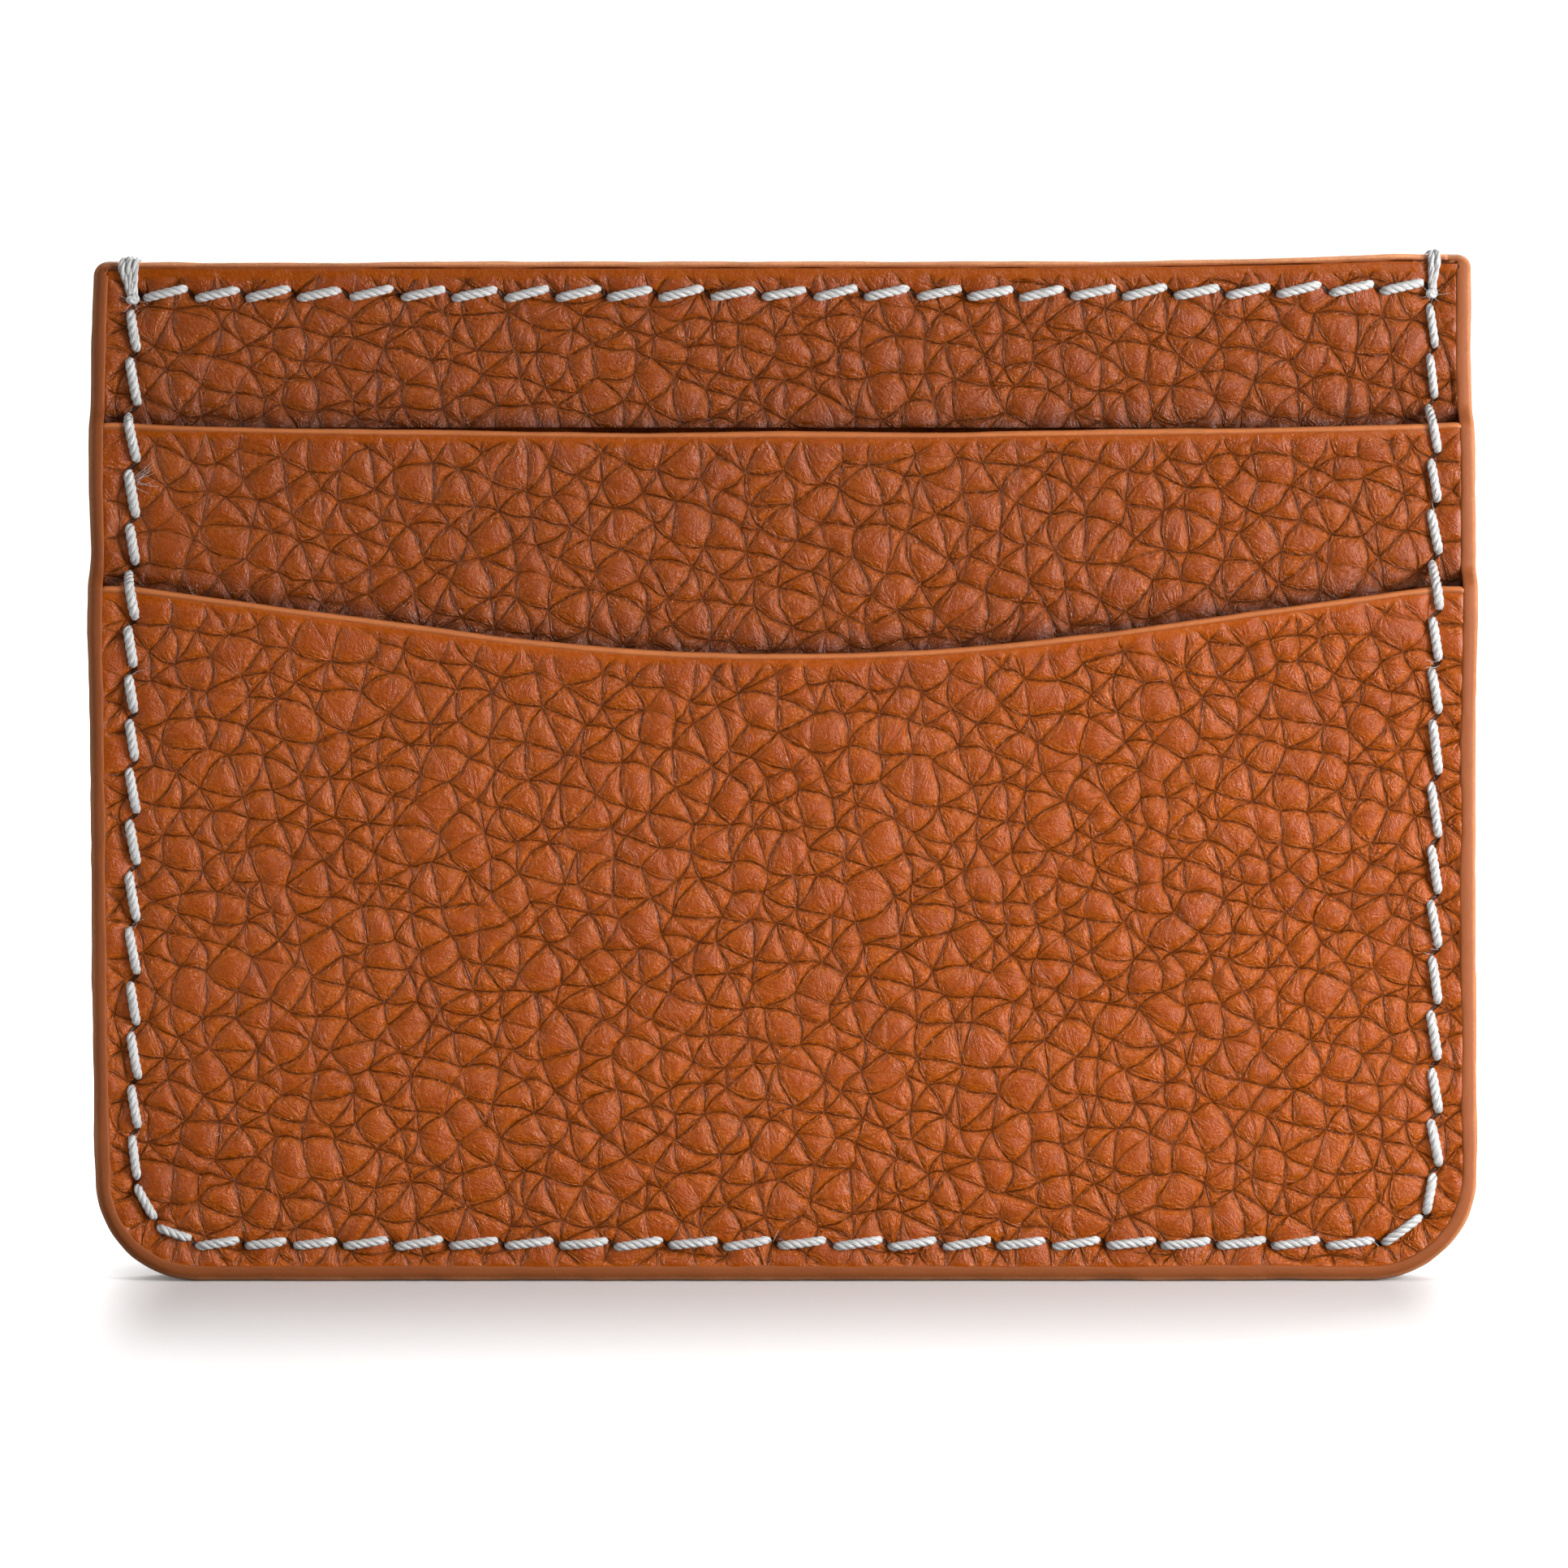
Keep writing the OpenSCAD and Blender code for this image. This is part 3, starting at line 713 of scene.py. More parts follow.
    # colour; the slope colour, lighter than the centre, is a painted sheen on the pebble sides
    flat_top = n.math("MULTIPLY", n.math("MULTIPLY", n.ramp(hgt, 0.25, 0.85), inner), n.math("MULTIPLY_ADD", grainy, 0.6, 0.4))
    light = tuple(v * 1.15 for v in slope_sheen)
    c = n.mix(flat_top, slope_sheen, centre)
    c = n.mix(n.math("MULTIPLY", n.ramp(coarse, 0.50, 0.70), 0.30), c, tuple(v * 0.78 for v in centre))
    c = n.mix(n.math("MULTIPLY", n.ramp(coarse, 0.48, 0.30), 0.22), c, slope_sheen)
    c = n.mix(n.math("MULTIPLY", cid, 0.20), c, tuple(v * 0.72 for v in centre))
    # wrinkle ridges painted lighter and their hollows darker: painted highlight and painted shade following the
    # wrinkle bump
    c = n.mix(n.math("MULTIPLY", n.ramp(wr, 0.04, 0.15), 0.46), c, light)
    c = n.mix(n.math("MULTIPLY", n.ramp(wr, -0.05, -0.16), 0.36), c, crease)
    c = n.mix(n.math("MULTIPLY", n.ramp(fine2, 0.54, 0.68), 0.28), c, light)
    c = n.mix(n.math("MULTIPLY", n.ramp(fine2, 0.44, 0.32), 0.30), c, tuple(v * 0.6 for v in centre))
    # painted shade: a broad darkening down each fold's sides; the fold lines below add the folds' own darker tone
    c = n.mix(n.math("MULTIPLY", n.math("POWER", soft, 1.5), 0.30), c, crease)
    c = n.mix(n.math("MULTIPLY", rim, 0.38), c, crease)
    c = n.mix(n.math("MULTIPLY", sharp, 0.72), c, tuple(v * 0.72 for v in crease))
    # painted shade above the mouths of the layers in front
    c = n.mix(n.math("MULTIPLY", n.attr("painted_mouth_shade"), 0.84), c, tuple(v * 0.66 for v in crease))
    # needle slits of the seam and of the top row, painted near black as the shade in the holes
    slit_and_shade = None
    for key in ("seam", "row"):
        s, t, _ = n.split(n.attr(key, "Vector"))
        f = n.math("SUBTRACT", n.math("FRACT", n.math("ADD", s, 0.5)), 0.5)
        u = n.math("MULTIPLY", f, 3.8)
        along = n.math("SUBTRACT", n.math("MULTIPLY", u, 0.62), n.math("MULTIPLY", t, 0.78))
        across = n.math("ADD", n.math("MULTIPLY", u, 0.78), n.math("MULTIPLY", t, 0.62))
        e = n.math("ADD", n.math("POWER", n.math("DIVIDE", n.math("ABSOLUTE", along), 0.50), 2.0),
                   n.math("POWER", n.math("DIVIDE", n.math("ABSOLUTE", across), 0.15), 2.0))
        m = n.ramp(e, 1.25, 0.45)
        slit_and_shade = m if slit_and_shade is None else n.math("MAXIMUM", slit_and_shade, m)
    c = n.mix(n.math("MULTIPLY", slit_and_shade, 0.92), c, (0.034, 0.009, 0.002))
    n._in(n.bsdf, "Base Color", c)
    r = n.math("MULTIPLY_ADD", fine2, 0.20, rough - 0.10)
    r = n.math("SUBTRACT", r, n.math("MULTIPLY", sharp, 0.10))
    n._in(n.bsdf, "Roughness", r)
    n.bsdf.inputs["Specular IOR Level"].default_value = spec
    # bump, in millimetres: the fold lines, the wrinkles and the pores
    b = n.math("MULTIPLY", sharp, -0.090)
    b = n.math("ADD", b, n.math("MULTIPLY", rim, -0.040))
    b = n.math("ADD", b, n.math("MULTIPLY", soft, -0.085))
    b = n.math("ADD", b, n.math("MULTIPLY", wr, 0.22))
    pores = n.math("MULTIPLY", n.noise(p, 5.0, 3.0, 0.7), n.math("MULTIPLY_ADD", grainy, 0.6, 0.4))
    b = n.math("ADD", b, n.math("MULTIPLY", pores, 0.095))
    b = n.math("ADD", b, n.math("MULTIPLY", n.noise(p, 1.6, 2.0, 0.6), 0.07))
    b = n.math("ADD", b, n.math("MULTIPLY", slit_and_shade, -0.25))
    n._in(n.bsdf, "Normal", n.bump(b, 1.0, 0.001))
    return n.mat


def paint_material(name, rim, lap, a, b, rough=0.40, spec=0.40):
    """Edge paint: lighter on the rim, partly the paint's own colour and partly a painted highlight; burnished into
    the leather's own tone on the lap.
    """
    n = Nodes(name)
    p = n.mm()
    big = n.noise(p, 0.35, 3.0, 0.5)
    small = n.noise(p, 4.0, 3.0, 0.6)
    far = n.math("ADD", n.attr("inward"), n.math("MULTIPLY_ADD", small, 0.16, -0.08))
    far = n.ramp(far, a, b)
    c = n.mix(far, rim, lap)
    c = n.mix(n.math("MULTIPLY", n.ramp(big, 0.35, 0.7), 0.22), c, tuple(v * 0.74 for v in lap))
    c = n.mix(n.math("MULTIPLY", n.ramp(small, 0.58, 0.8), 0.25), c, tuple(v * 0.7 for v in lap))
    n._in(n.bsdf, "Base Color", c)
    n._in(n.bsdf, "Roughness", n.math("MULTIPLY_ADD", small, 0.18, rough - 0.09))
    n.bsdf.inputs["Specular IOR Level"].default_value = spec
    t = n.math("ADD", n.math("MULTIPLY", big, 1.4), n.math("MULTIPLY", small, 0.35))
    n._in(n.bsdf, "Normal", n.bump(t, 0.6, 0.00012))
    return n.mat


def thread_material(name, base):
    n = Nodes(name)
    uv = n.attr("ply", "Vector")          # along, around, number
    a, r, k = n.split(uv)
    v = n.join(n.math("MULTIPLY", a, 1.1), n.math("MULTIPLY", r, 9.0), n.math("MULTIPLY", k, 13.0))
    fib = n.noise(v, 1.0, 3.0, 0.6)
    p = n.mm()
    dirt = n.noise(p, 0.9, 2.0, 0.5)
    c = n.mix(n.ramp(fib, 0.34, 0.66), tuple(x * 0.58 for x in base), base)
    c = n.mix(n.math("MULTIPLY", n.ramp(dirt, 0.5, 0.8), 0.22), c, (base[0] * 0.78, base[1] * 0.74, base[2] * 0.66))
    n._in(n.bsdf, "Base Color", c)
    n._in(n.bsdf, "Roughness", n.math("MULTIPLY_ADD", fib, 0.2, 0.32))
    n.bsdf.inputs["Specular IOR Level"].default_value = 0.55
    n.bsdf.inputs["Sheen Weight"].default_value = 0.15
    n._in(n.bsdf, "Normal", n.bump(fib, 0.7, 0.00008))
    return n.mat


def lining_material(name, base):
    n = Nodes(name)
    p = n.mm()
    a, b = n.noise(p, 1.2, 4.0, 0.6), n.noise(p, 9.0, 2.0, 0.6)
    c = n.mix(n.ramp(a, 0.3, 0.75), tuple(v * 0.8 for v in base), tuple(min(v * 1.15, 1) for v in base))
    c = n.mix(n.math("MULTIPLY", n.ramp(b, 0.5, 0.8), 0.3), c, tuple(v * 0.6 for v in base))
    n._in(n.bsdf, "Base Color", c)
    n._in(n.bsdf, "Roughness", n.math("MULTIPLY_ADD", b, 0.15, 0.72))
    n.bsdf.inputs["Specular IOR Level"].default_value = 0.25
    n._in(n.bsdf, "Normal", n.bump(b, 0.6, 0.0001))
    return n.mat


# the slope colour is lighter than the centre colour: a painted sheen on the pebble sides
CENTRE, SLOPE_SHEEN, CREASE_AND_SHADE = (0.338, 0.056, 0.0003), (0.386, 0.076, 0.0008), (0.108, 0.019, 0.0001)
# the crease colour is the folds' darker tone together with painted shade in the folds
m_pocket = leather_material("pocket_leather_grain", CENTRE, SLOPE_SHEEN, CREASE_AND_SHADE)
# the middle pocket and the panels, front and back, are darker copies of the pocket leather: painted shade for the
# deeper layers
m_middle_painted_shade = leather_material("middle_leather_grain_painted_shade", tuple(v * 0.86 for v in CENTRE), tuple(v * 0.86 for v in SLOPE_SHEEN), CREASE_AND_SHADE)
m_panel_painted_shade = leather_material("panel_leather_grain_painted_shade", tuple(v * 0.82 for v in CENTRE), tuple(v * 0.82 for v in SLOPE_SHEEN), CREASE_AND_SHADE)
m_paint = paint_material("edge_paint_satin", (0.56, 0.235, 0.105), (0.260, 0.069, 0.017), 0.08, 0.46, 0.58, 0.22)
# the top edge's rim is painted much lighter than the side edges' rim: a painted highlight for light from above
m_top_highlit = paint_material("top_paint_satin_painted_highlight", (0.84, 0.37, 0.175), (0.250, 0.062, 0.012), 0.05, 0.40)
m_mouth = paint_material("mouth_paint_satin", (0.52, 0.160, 0.045), (0.300, 0.078, 0.016), 0.20, 0.45)
m_thread = thread_material("thread_waxed", (0.66, 0.655, 0.645))
m_lining = lining_material("lining_suede", (0.42, 0.22, 0.10))
m_filler = lining_material("filler_raw_leather", (0.36, 0.20, 0.11))


# ------------------------------------------------------------------ leather pieces
TOP_L = TOP - 0.5


def arc(cx, cz, r, a0, a1, n):
    return [(cx + r * math.cos(a), cz + r * math.sin(a)) for a in np.linspace(math.radians(a0), math.radians(a1), n)]


def body_outline(top, inset=COAT, r=None):
    """Outline from the bottom left corner anticlockwise, with the top given as points from right to left."""
    r = (CORNER - inset) if r is None else r
    h = HALF - inset
    pts = arc(-h + r, inset + r, r, 180, 270, 6) + arc(h - r, inset + r, r, 270, 360, 6) + list(top)
    return np.array(pts)


xs = np.linspace(HALF - COAT, -(HALF - COAT), 40)
N_SUB = 9

out_fp = body_outline([(x, float(mouth_z(x)) - 0.4) for x in xs])
front_pocket = leather_piece("front_pocket_leather", "fp", Y_FP, hi_fp[1], out_fp, m_pocket, 11, N_SUB)

SPLIT_MP = 43.2
h = HALF - COAT
out_mp = np.array([(-h, SPLIT_MP), (h, SPLIT_MP)] + [(x, float(mid_z(x)) - 0.4) for x in xs])
low_mp = [(h, lo_mp[2] + 28.0), (44.0, lo_mp[2] + 28.0), (44.0, lo_mp[2]), (-44.0, lo_mp[2]), (-44.0, lo_mp[2] + 28.0), (-h, lo_mp[2] + 28.0)]
middle_pocket = leather_piece("middle_pocket_leather", "mp", Y_MP, hi_mp[1], out_mp, m_middle_painted_shade, 23, N_SUB, lower=low_mp[::-1], split=SPLIT_MP)

SPLIT_PN = 57.5
TOP_L = TOP - 0.5
out_pn = np.array([(-h, SPLIT_PN), (h, SPLIT_PN), (h, TOP_L - 0.6), (h - 0.5, TOP_L), (-h + 0.5, TOP_L), (-h, TOP_L - 0.6)])
rr = CORNER - COAT
low_pn = arc(h - rr, COAT + rr, rr, 0, -90, 7) + arc(-h + rr, COAT + rr, rr, -90, -180, 7)
front_panel = leather_piece("front_panel_leather", "pn", Y_PN, hi_pn[1], out_pn, m_panel_painted_shade, 37, N_SUB, lower=low_pn[::-1], split=SPLIT_PN)

out_bk = body_outline([(h, TOP_L - 0.6), (h - 0.5, TOP_L), (-h + 0.5, TOP_L), (-h, TOP_L - 0.6)])
back_panel = leather_piece("back_panel_leather", "bk", Y_BK, lo_bp[1], out_bk, m_panel_painted_shade, 53, 8)


# ------------------------------------------------------------------ swept edges
def sweep(name, path, frames, profile, material, closed_ends=True, lap=None):
    """path: N,3 points; frames: N,2,3 directions (outwards, towards the back); profile: N,K,2 closed section at each point."""
    N, K = profile.shape[:2]
    v = path[:, None] + profile[..., :1] * frames[:, None, 0] + profile[..., 1:] * frames[:, None, 1]
    v = v.reshape(-1, 3)
    faces = []
    for i in range(N - 1):
        for k in range(K):
            a, b = i * K + k, i * K + (k + 1) % K
            faces.append((a, b, b + K, a + K))
    if closed_ends:
        faces.append(tuple(range(K))[::-1])
        faces.append(tuple((N - 1) * K + k for k in range(K)))
    inwards = -profile[..., 0].reshape(-1)
    return add_mesh(name, wear(v), faces, material, point=dict(inward=("FLOAT", inwards)))


def level(z, x):
    """Front face position of the edge at a height, stepping back above each mouth."""
    a = smooth(z, MOUTH_Z - 0.2, MOUTH_Z + 1.5)
    b = smooth(z, MID_Z - 0.2, MID_Z + 1.5)
    return Y_FP + (Y_MP - Y_FP) * a + (Y_PN - Y_MP) * b


def perimeter_coat():
    r = CORNER
    pts = []
    top_r = 1.0
    # down the left side, round the bottom, up the right side, with the ends turned over the top corners
    x_end = 45.4
    for x in np.arange(-x_end, -HALF + top_r, -0.35):
        pts.append((x, TOP))
    pts += arc(-HALF + top_r, TOP - top_r, top_r, 90, 180, 9)
    for z in np.arange(TOP - top_r - 0.3, r, -0.3):
        pts.append((-HALF, z))
    pts += arc(-HALF + r, r, r, 180, 270, 34)
    for x in np.arange(-HALF + r + 0.4, HALF - r, 0.4):
        pts.append((x, 0))
    pts += arc(HALF - r, r, r, 270, 360, 34)
    for z in np.arange(r + 0.3, TOP - top_r, 0.3):
        pts.append((HALF, z))
    pts += arc(HALF - top_r, TOP - top_r, top_r, 0, 90, 9)
    for x in np.arange(HALF - top_r - 0.35, x_end, -0.35):
        pts.append((x, TOP))
    p = np.array(pts)
    d = np.gradient(p, axis=0)
    d /= np.hypot(*d.T)[:, None]
    nrm = np.stack([d[:, 1], -d[:, 0]], 1)             # to the right of the way, which is outwards... checked below
    mid = np.array([0.0, 37.0])
    if ((p - mid) * nrm).sum() < 0:
        nrm = -nrm
    run = np.concatenate([[0], np.cumsum(np.hypot(*np.diff(p, axis=0).T))])
    yf = level(p[:, 1], p[:, 0])
    yb = np.full(len(p), Y_BK)
    wav = 0.05 * vnoise(run / 3.1, 0.5, 71) + 0.03 * vnoise(run / 1.1, 0.5, 72)
    lap = 1.17 + 0.10 * vnoise(run / 5.0, 0.5, 73) + 0.05 * vnoise(run / 1.3, 0.5, 74)
    ontop = smooth(p[:, 1], TOP - 1.2, TOP - 0.2) * smooth(-np.abs(p[:, 0]), -HALF, -HALF + 1.5)
    lap = lap * (1 - 0.45 * ontop)
    rise = 0.05 * vnoise(run / 4.0, 0.5, 75)
    relief_f = relief("bk", p[:, 0] - nrm[:, 0] * 1.3, p[:, 1] - nrm[:, 1] * 1.3) * 0.6
    prof = []
    for i in range(len(p)):
        L, w, f, b = lap[i], wav[i], yf[i] - relief_f[i] - 0.015, yb[i] + relief_f[i] + 0.015
        m = 0.5 * (f + b)
        half = 0.5 * (b - f)
        side = [(-L, 0.08), (-L + 0.05, 0.015), (-L + 0.14, -0.02), (-L + 0.26, -0.03), (-0.68, -0.01),
                (-0.55, 0.03), (-0.43, 0.09), (-0.30, 0.18), (-0.18, 0.31), (-0.085, 0.50), (-0.025, 0.80)]
        s = [(x + (w if x > -0.6 else 0), f + y) for x, y in side]
        s += [(0.0 + w, f + 0.36 * 2 * half), (0.02 + w, m), (0.0 + w, b - 0.36 * 2 * half)]
        s += [(x + (w if x > -0.6 else 0), b - y) for x, y in side[::-1]]
        s += [(-0.62, b - 0.16), (-0.56, b - 0.5), (-0.56, f + 0.5), (-0.62, f + 0.16)]
        prof.append(s)
    prof = np.array(prof)
    path = np.stack([p[:, 0], np.zeros(len(p)), p[:, 1]], 1)
    fr = np.zeros((len(p), 2, 3))
    fr[:, 0, 0], fr[:, 0, 2] = nrm[:, 0], nrm[:, 1]
    fr[:, 1, 1] = 1
    return sweep("perimeter_edge_paint", path, fr, prof, m_paint)


edge_coat = perimeter_coat()


def mouth_coat(name, fn, layer, y_front, y_back, x_end, lap0, slim=1.0):
    x = np.arange(-x_end, x_end + 0.01, 0.35)
    z = fn(x)
    d = np.stack([np.gradient(x), np.gradient(z)], 1)
    d /= np.hypot(*d.T)[:, None]
    up = np.stack([-d[:, 1], d[:, 0]], 1)
    rel = relief(layer, x, z - 0.9)
    seed = int(abs(y_front) * 100) % 97
    lap = lap0 * (1 + 0.10 * vnoise(x / 4.0, 0.2, seed + 1) + 0.06 * vnoise(x / 1.2, 0.2, seed + 2))
    wob = 0.03 * vnoise(x / 2.6, 0.2, seed + 3) + 0.05 * vnoise(x / 9.0, 0.2, seed + 4)
    T = y_back - y_front
    sink = 0.32 * smooth(np.abs(x), x_end - 0.55, x_end)          # the ends dive under the edge paint
    prof = []
    for i in range(len(x)):
        L, w, f = lap[i], wob[i] - sink[i], -rel[i] * 0.85 + sink[i]
        s = [(-L, f + 0.11), (-L + 0.02, f + 0.005), (-L + 0.07, f - 0.02), (-0.36, f - 0.035), (-0.27, f - 0.05),
             (-0.19, f - 0.03), (-0.12, f + 0.02), (-0.06, f + 0.10), (-0.018, f + 0.21)]
        s = [(u + w, v) for u, v in s]
        s += [(0.0 + w, 0.5 * (f + T)), (-0.03 + w, T - 0.17), (-0.10 + w, T - 0.06), (-0.22 + w, T + 0.01), (-0.55, T + 0.035),
              (-0.80, T + 0.03), (-0.80, T - 0.01), (-0.46, T - 0.05), (-0.42, T * 0.5), (-0.44, f + 0.14)]
        prof.append(s)
    prof = np.array(prof)
    path = np.stack([x, np.full(len(x), y_front), z], 1)
    fr = np.zeros((len(x), 2, 3))
    fr[:, 0, 0], fr[:, 0, 2] = up[:, 0], up[:, 1]
    fr[:, 1, 1] = 1
    return sweep(name, path, fr, prof, m_mouth)


mouth_fp = mouth_coat("front_pocket_mouth_paint", mouth_z, "fp", Y_FP, hi_fp[1], HALF - 0.62, 0.52)
mouth_mp = mouth_coat("middle_pocket_mouth_paint", mid_z, "mp", Y_MP, hi_mp[1], HALF - 0.62, 0.52)


def top_coat(name, y_front, y_back, layer, flip):
    """Paint over the top edge of a panel and its lining; the outer side has the wide lap."""
    x_end = HALF - 1.6
    x = np.arange(-x_end, x_end + 0.01, 0.35)
    seed = 61 if flip else 67
    rel = relief(layer, x, np.full(len(x), TOP - 0.9))
    lap = 0.50 * (1 + 0.10 * vnoise(x / 4.0, 0.2, seed + 1) + 0.07 * vnoise(x / 1.2, 0.2, seed + 2))
    wob = 0.035 * vnoise(x / 2.6, 0.2, seed + 3) + 0.06 * vnoise(x / 8.0, 0.2, seed + 4)
    T = y_back - y_front
    prof = []
    for i in range(len(x)):
        L, w, f = lap[i], wob[i], -rel[i] * 0.85
        s = [(-L, f + 0.11), (-L + 0.02, f + 0.01), (-L + 0.07, f - 0.03), (-L + 0.13, f - 0.03),
             (-0.25, f + 0.01), (-0.14, f + 0.09), (-0.05, f + 0.22), (-0.005, f + 0.40)]
        s = [(u + (w if u > -0.5 else 0), v) for u, v in s]
        s += [(0.01 + w, 0.5 * (f + T)), (-0.03 + w, T - 0.24), (-0.11 + w, T - 0.09), (-0.24 + w, T + 0.0), (-0.5, T + 0.03),
              (-0.75, T + 0.03), (-0.75, T - 0.01), (-0.46, T - 0.05), (-0.43, T * 0.5), (-0.44, f + 0.14)]
        prof.append(s)
    prof = np.array(prof)
    y0 = y_front
    if flip:
        prof[..., 1] = T - prof[..., 1]
        prof = prof[:, ::-1]
    path = np.stack([x, np.full(len(x), y0), np.full(len(x), TOP)], 1)
    fr = np.zeros((len(x), 2, 3))
    fr[:, 0, 2] = 1
    fr[:, 1, 1] = 1
    return sweep(name, path, fr, prof, m_top_highlit)


top_front = top_coat("front_panel_top_paint", Y_PN, hi_fl[1], "pn", False)
top_back = top_coat("back_panel_top_paint", lo_bl[1], Y_BK, "bk", True)


# ------------------------------------------------------------------ thread
class Strands:
    """Collects twisted strands into one mesh."""

    def __init__(self):
        self.v, self.f, self.uv, self.n = [], [], [], 0
        self.count = 0

    def tube(self, c, r, sides, seed=0.0, flat=1.0, caps=True):
        c = np.asarray(c, float)
        N = len(c)
        r = np.broadcast_to(np.asarray(r, float), (N,))
        t = np.gradient(c, axis=0)
        t /= np.linalg.norm(t, axis=1)[:, None]
        ref = np.array([0.0, 1.0, 0.0])
        if abs(t[:, 1]).mean() > 0.8:
            ref = np.array([1.0, 0.0, 0.0])
        u = np.cross(t, ref)
        u /= np.maximum(np.linalg.norm(u, axis=1), 1e-9)[:, None]
        w = np.cross(t, u)
        a = np.linspace(0, 2 * np.pi, sides, endpoint=False)
        ring = c[:, None] + r[:, None, None] * (np.cos(a)[None, :, None] * u[:, None] + flat * np.sin(a)[None, :, None] * w[:, None])
        base = self.n
        self.v.append(ring.reshape(-1, 3))
        run = np.concatenate([[0], np.cumsum(np.linalg.norm(np.diff(c, axis=0), axis=1))])
        uv = np.stack([np.repeat(run, sides), np.tile(np.abs(a / np.pi - 1), N), np.full(N * sides, seed)], 1)
        self.uv.append(uv)
        for i in range(N - 1):
            for k in range(sides):
                p, q = base + i * sides + k, base + i * sides + (k + 1) % sides
                self.f.append((p, q, q + sides, p + sides))
        if caps:
            self.f.append(tuple(base + k for k in range(sides))[::-1])
            self.f.append(tuple(base + (N - 1) * sides + k for k in range(sides)))
        self.n += N * sides

    def twist(self, c, radius, plies=3, pitch=1.9, sides=8, phase=0.0, flat=0.86, taper=None, seg=None):
        """A thread of several plies twisted round the path c."""
        c = np.asarray(c, float)
        run = np.concatenate([[0], np.cumsum(np.linalg.norm(np.diff(c, axis=0), axis=1))])
        t = np.gradient(c, axis=0)
        t /= np.linalg.norm(t, axis=1)[:, None]
        ref = np.array([0.0, 1.0, 0.0])
        if abs(t[:, 1]).mean() > 0.8:
            ref = np.array([1.0, 0.0, 0.0])
        u = np.cross(t, ref)
        u /= np.maximum(np.linalg.norm(u, axis=1), 1e-9)[:, None]
        w = np.cross(t, u)
        hr = radius * 0.44
        pr = radius * 0.60
        tp = np.ones(len(c)) if taper is None else taper
        for k in range(plies):
            a = phase + 2 * np.pi * (k / plies + run / pitch)
            off = hr * tp[:, None] * (np.cos(a)[:, None] * u + flat * np.sin(a)[:, None] * w)
            self.count += 1
            self.tube(c + off, pr * tp, sides, seed=self.count * 0.37, flat=1.0)

    def make(self, name, material):
        ob = add_mesh(name, wear(np.concatenate(self.v)), self.f, material, point=dict(ply=("FLOAT_VECTOR", np.concatenate(self.uv))))
        return ob


rng_t = np.random.default_rng(99)


def face_at(x, z):
    """Front surface of the holder: the outermost layer's relieved face."""
    x, z = np.asarray(x, float), np.asarray(z, float)
    fp = Y_FP - relief("fp", x, z)
    mp = Y_MP - relief("mp", x, z)
    pn = Y_PN - relief("pn", x, z)
    return np.where(z < mouth_z(x), fp, np.where(z < mid_z(x), mp, pn))


def stitch(st, a, b, lean, surf, side, radius=0.335, shorten=0.74, stand=0.19):
    """One visible stitch between needle holes a and b; side is -1 on the front and 1 on the back."""
    a, b = np.asarray(a, float), np.asarray(b, float)
    d = b - a
    L = np.hypot(*d)
    d /= L
    nrm = np.array([-d[1], d[0]])
    jit = rng_t.uniform(-1, 1, 4)
    lean = lean + 2.2 * jit[0]
    half = (L - shorten) / 2 * (1 + 0.02 * jit[1])
    ang = math.radians(lean)
    dirn = d * math.cos(ang) + nrm * math.sin(ang)
    mid = (a + b) / 2 + nrm * 0.04 * jit[2] + d * 0.05 * jit[3]
    n = 33
    u = np.linspace(-1, 1, n)
    xz = mid + np.outer(u * half, dirn)
    g = side * surf(xz[:, 0], xz[:, 1])                # how far out the surface is
    # the thread is taut: it spans the surface like a string over a hill
    g2 = g.copy()
    g2[0] -= 0.05
    g2[-1] -= 0.05
    hull = [0]
    for i in range(1, n):
        while len(hull) >= 2:
            i0, i1 = hull[-2], hull[-1]
            if (g2[i1] - g2[i0]) * (i - i0) <= (g2[i] - g2[i0]) * (i1 - i0):
                hull.pop()
            else:
                break
        hull.append(i)
    env = np.interp(np.arange(n), hull, g2[hull])
    bow = 1 - np.abs(u) ** 5
    out = env + stand * bow - 0.34 * np.abs(u) ** 12
    taper = 1 - 0.16 * np.abs(u) ** 8
    c = np.stack([xz[:, 0], side * out, xz[:, 1]], 1)
    st.twist(c, radius * (1 + 0.03 * jit[1]), plies=3, pitch=1.65, sides=8, phase=rng_t.uniform(0, 6.28), taper=taper)


def lean_of(k, n):
    if k < 17 or k >= n - 16:
        return 9.0
    if k == 17 or k == n - 17:
        return 0.0
    return 8.0


back_face = lambda x, z: Y_BK + relief("bk", x, z)


def fray(st, x, z, count, reach, turn, seed):
    """Loose fibres standing out of a stitch end, about the direction turn."""
    r = np.random.default_rng(seed)
    t = np.linspace(0, 1, 12)
    y = float(face_at([x], [z])[0]) - 0.22
    for _ in range(count):
        ang = turn + r.uniform(-0.9, 0.9)
        ln, curl = reach * r.uniform(0.45, 1.0), r.uniform(-0.9, 0.9)
        px = x + r.uniform(-0.25, 0.25) + t * ln * math.cos(ang) - curl * t * t * ln * 0.6 * math.sin(ang)
        pz = z + r.uniform(-0.45, 0.45) + t * ln * math.sin(ang) + curl * t * t * ln * 0.6 * math.cos(ang)
        st.tube(np.stack([px, y - r.uniform(0.05, 0.35) * t, pz], 1), np.linspace(0.020, 0.010, 12), 4)

